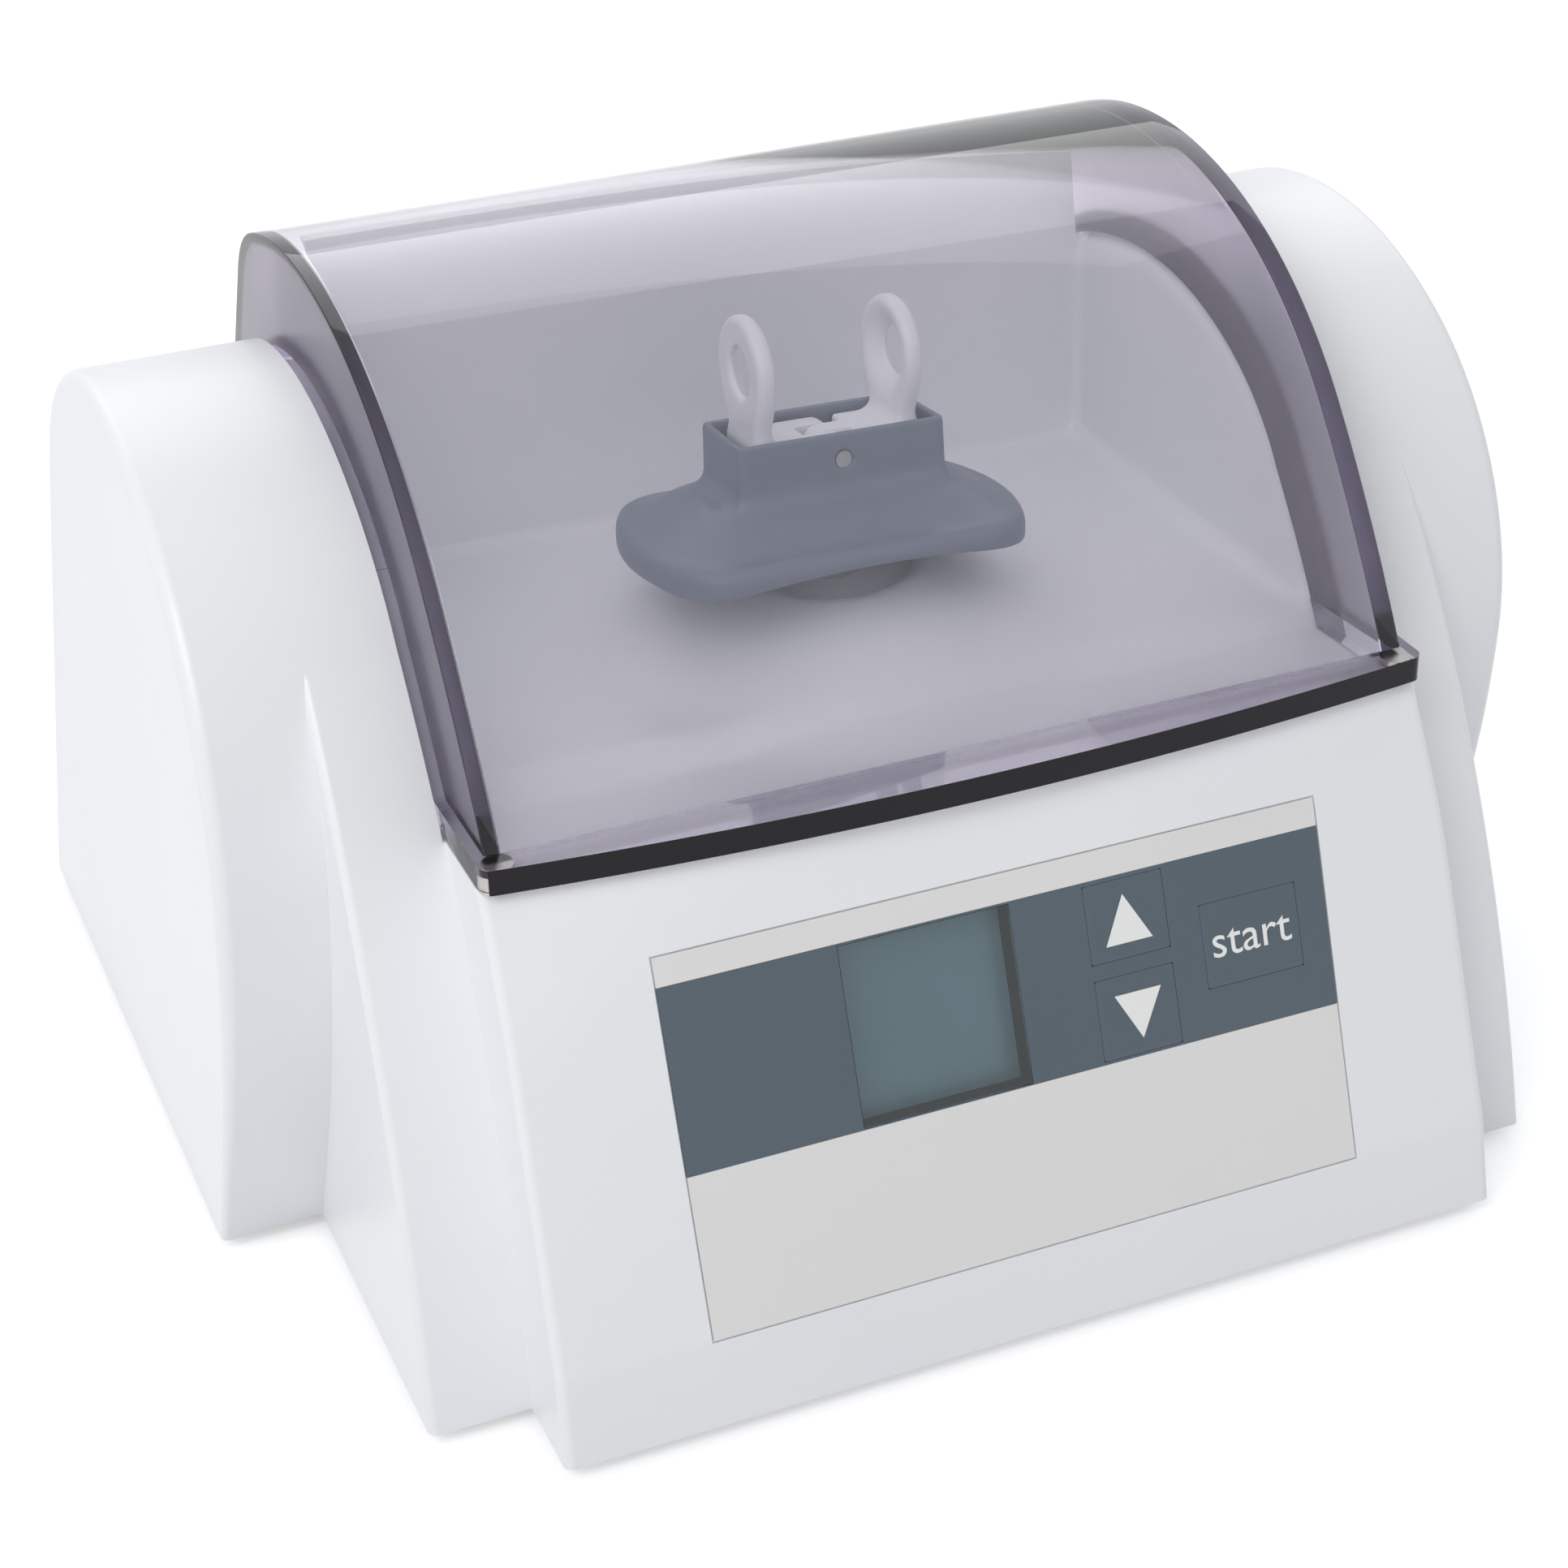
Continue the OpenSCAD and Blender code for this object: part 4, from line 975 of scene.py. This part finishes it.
# A deep-drawn aluminium can: smooth and bright.
can_aluminium = moulded("drawn_aluminium_can", "#b4b6b8", "#c4c5c7", 0.32, 0.4, 0.15, metallic=1.0)
# Extruded PVC round the wires: plain blue with a mild gloss.
wire_sleeve = moulded("pvc_wire_sleeve", "#1f4c8c", "#2a5899", 0.4, 0.4, 0.1)
print("finishes in all:", len(bpy.data.materials))

# %% [markdown]
# ## Which piece has which finish
# The pieces that keep their CAD shape are listed by finish. The rebuilt ones get theirs one by one, and
# the lid's faces are sorted: polished sheet, satin side walls, and a front edge of painted shade.

# %% The CAD pieces' finishes
def finish_node(name, material):
    """A CAD node keeps its mesh, and its material slots are given the finish."""
    piece = nodes[name]
    for slot in piece.material_slots:
        slot.link = "OBJECT"
        slot.material = material
    if not piece.material_slots:
        piece.data.materials.append(material)


node_finishes = {
    coated_steel: ["base_pan"],
    black_rubber: ["foot_fl", "foot_fr", "foot_rl", "foot_rr", "display_gasket", "mount_bushes"],
    ground_steel: ["base_screws", "hinge_pin_l", "hinge_pin_r", "drive_shaft", "wobble_hub", "bearing_l_outer",
                   "bearing_l_inner", "bearing_r_outer", "bearing_r_inner", "holder_stem", "guide_pin",
                   "capacitor_clip"],
    pin_steel: ["pivot_pin"],
    panel_foil: ["panel_foil"],
    band_foil: ["control_band"],
    display_window: ["display_lens"],
    display_glass_grey: ["display_module"],
    board_green: ["control_board", "supply_board"],
    black_plastic: ["key_switches", "reed_switch", "supply_parts", "mains_inlet", "fuse_drawer", "switch_frame",
                    "switch_rocker"],
    nickel: ["lid_magnets", "inlet_pins"],
    cast_aluminium: ["drive_frame", "holder_ring"],
    painted_motor: ["motor_case"],
    sheet_stack: ["motor_stator", "motor_rotor", "transformer_core"],
    copper_wire: ["motor_windings", "transformer_coil"],
    cast_iron: ["balance_wheel"],
    acetal: ["guide_block"],
    white_abs: ["dome_shutter"],
    can_aluminium: ["run_capacitor"],
    wire_sleeve: ["mains_wires"],
}
for material, names in node_finishes.items():
    for name in names:
        finish_node(name, material)
print("finished CAD pieces:", sum(len(names) for names in node_finishes.values()))

# %% The rebuilt pieces' finishes
def finish_with(piece, *materials):
    """The piece's own slots, one for each material."""
    piece.data.materials.clear()
    for material in materials:
        piece.data.materials.append(material)


for piece in (housing_shell, hinge_brackets):
    finish_with(piece, white_abs)
finish_with(fork_head_piece, fork_plastic)
for piece in arm_pieces.values():
    finish_with(piece, arm_plastic)
for piece in key_pads.values():
    finish_with(piece, band_foil)
for piece in signs.values():
    finish_with(piece, white_ink)

# The flange's front faces get the near-black finish, painted shade for the look through the thick edge.
SATIN_SLOT, EDGE_SHADE_SLOT = 1, 2
finish_with(lid_shell, lid_clear, lid_satin, lid_edge_painted_shade)
for face in lid_shell.data.polygons:
    x, y, z = np.array(face.center) / MM - SHIFT
    if abs(face.normal.x) > 0.95 and z > FLANGE_Z1 + 0.5 and y > FLANGE_BACK_Y - 0.5:
        face.material_index = SATIN_SLOT
    elif face.normal.y < -0.9 and z < FLANGE_Z1 and y < 38:
        face.material_index = EDGE_SHADE_SLOT
print("lid faces by slot:", [sum(f.material_index == i for f in lid_shell.data.polygons) for i in range(3)])

# %% [markdown]
# ## What each piece stands for and rides on
# A rebuilt piece takes the place of its CAD node and moves with the same body. A sign moves with its key.

# %% Bodies
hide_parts("housing")
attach(housing_shell, "housing")
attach(hinge_brackets, "housing")
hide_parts("lid")
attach(lid_shell, "lid")
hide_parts("holder_body")
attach(fork_head_piece, "holder")
for name, piece in arm_pieces.items():
    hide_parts(name)
    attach(piece, name)
for name, piece in key_pads.items():
    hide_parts(name)
    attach(piece, name)
    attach(signs[name], name)
print("riding: housing, lid, fork,", ", ".join([*arm_pieces, *key_pads]))

# %% [markdown]
# ## The camera
# It stands where the photograph was taken: in front, to the left and well above. Its lens, place and
# turn were fitted to the edges of the base, the panel and the lid.

# %% The camera
CAMERA_AT = (-0.2286, -0.5613, 0.4075)
AZIMUTH, ELEVATION, ROLL = radians(-22.032), radians(29.977), radians(-1.4537)
camera_data = bpy.data.cameras.new("camera")
camera_data.lens = 73.81
camera_data.sensor_width = 36
camera = new_object("camera", camera_data)
level = cos(ELEVATION)
ahead = Vector((-sin(AZIMUTH) * level, cos(AZIMUTH) * level, -sin(ELEVATION)))
level_right = Vector((cos(AZIMUTH), sin(AZIMUTH), 0))
level_up = level_right.cross(ahead)
right = cos(ROLL) * level_right + sin(ROLL) * level_up
upward = -sin(ROLL) * level_right + cos(ROLL) * level_up
camera.matrix_world = Matrix([(right[i], upward[i], -ahead[i], CAMERA_AT[i]) for i in range(3)] + [(0, 0, 0, 1)])
bpy.context.scene.camera = camera
print("camera at", CAMERA_AT, "with a", camera_data.lens, "mm lens")

# %% [markdown]
# ## The floor and the room's light
# White paper in a white room. A look at them, straight or in a glossy or clear surface, finds plain
# white. The light that they give is dimmer, so that the white shell keeps its tones.

# %% The floor and the room
def seen_directly(tree):
    """1 for a look at it, also in or through a surface, and 0 for the light that it gives."""
    path = add(tree, "LightPath")
    seen = path.outputs["Is Camera Ray"]
    for kind in ("Is Glossy Ray", "Is Transmission Ray"):
        seen = add(tree, "Math", {0: seen, 1: path.outputs[kind]}, operation="MAXIMUM").outputs[0]
    return seen


def paper_floor():
    paper = bpy.data.materials.new("white_paper_floor")
    tree = blank_tree(paper)
    matt = add(tree, "BsdfDiffuse", {"Color": (0.75, 0.75, 0.76, 1)})
    glow = add(tree, "Emission", {"Color": (1, 1, 1, 1), "Strength": 0.45})
    both = add(tree, "AddShader", {0: matt.outputs[0], 1: glow.outputs[0]})
    mix = add(tree, "MixShader", {0: seen_directly(tree), 1: matt.outputs[0], 2: both.outputs[0]})
    add(tree, "OutputMaterial", {"Surface": mix.outputs[0]})
    return paper


bpy.ops.mesh.primitive_plane_add(size=8)
floor = bpy.context.object
floor.name = "floor"
finish_with(floor, paper_floor())

world = bpy.data.worlds.new("room")
bpy.context.scene.world = world
tree = blank_tree(world)
strength = add(tree, "MapRange", {"Value": seen_directly(tree), "To Min": 0.58, "To Max": 1.0})
sky = add(tree, "Background", {"Color": (0.97, 0.985, 1, 1), "Strength": strength.outputs[0]})
add(tree, "OutputWorld", {"Surface": sky.outputs[0]})
print("floor and room: white where seen")

# %% [markdown]
# ## The lamps
# The main softbox stands front left, which leaves the right sides a tone darker. A weak one lifts the
# left wing, and a large one behind lies as a pale veil on the top of the lid.

# %% The softboxes
def softbox(name, where, aim, size, power):
    """A rectangular lamp, in metres and watts."""
    lamp = bpy.data.lights.new(name, "AREA")
    lamp.shape = "RECTANGLE"
    lamp.size, lamp.size_y = size
    lamp.energy = power
    holder = new_object(name, lamp)
    holder.location = where
    holder.rotation_mode = "QUATERNION"
    holder.rotation_quaternion = (Vector(aim) - Vector(where)).to_track_quat("-Z", "Y")
    print(name, power, "W")


softbox("softbox_front_left", (-1.0, -0.75, 1.25), (0, 0, 0.08), (1.0, 0.8), 10)
softbox("softbox_left", (-1.3, -0.35, 0.6), (0, 0, 0.08), (0.8, 0.8), 0.5)
softbox("softbox_behind", (0.41, 0.945, 1.1), (0.1, -0.161, 0.753), (2.2, 1.04), 8)
bpy.context.scene.view_settings.view_transform = "Standard"
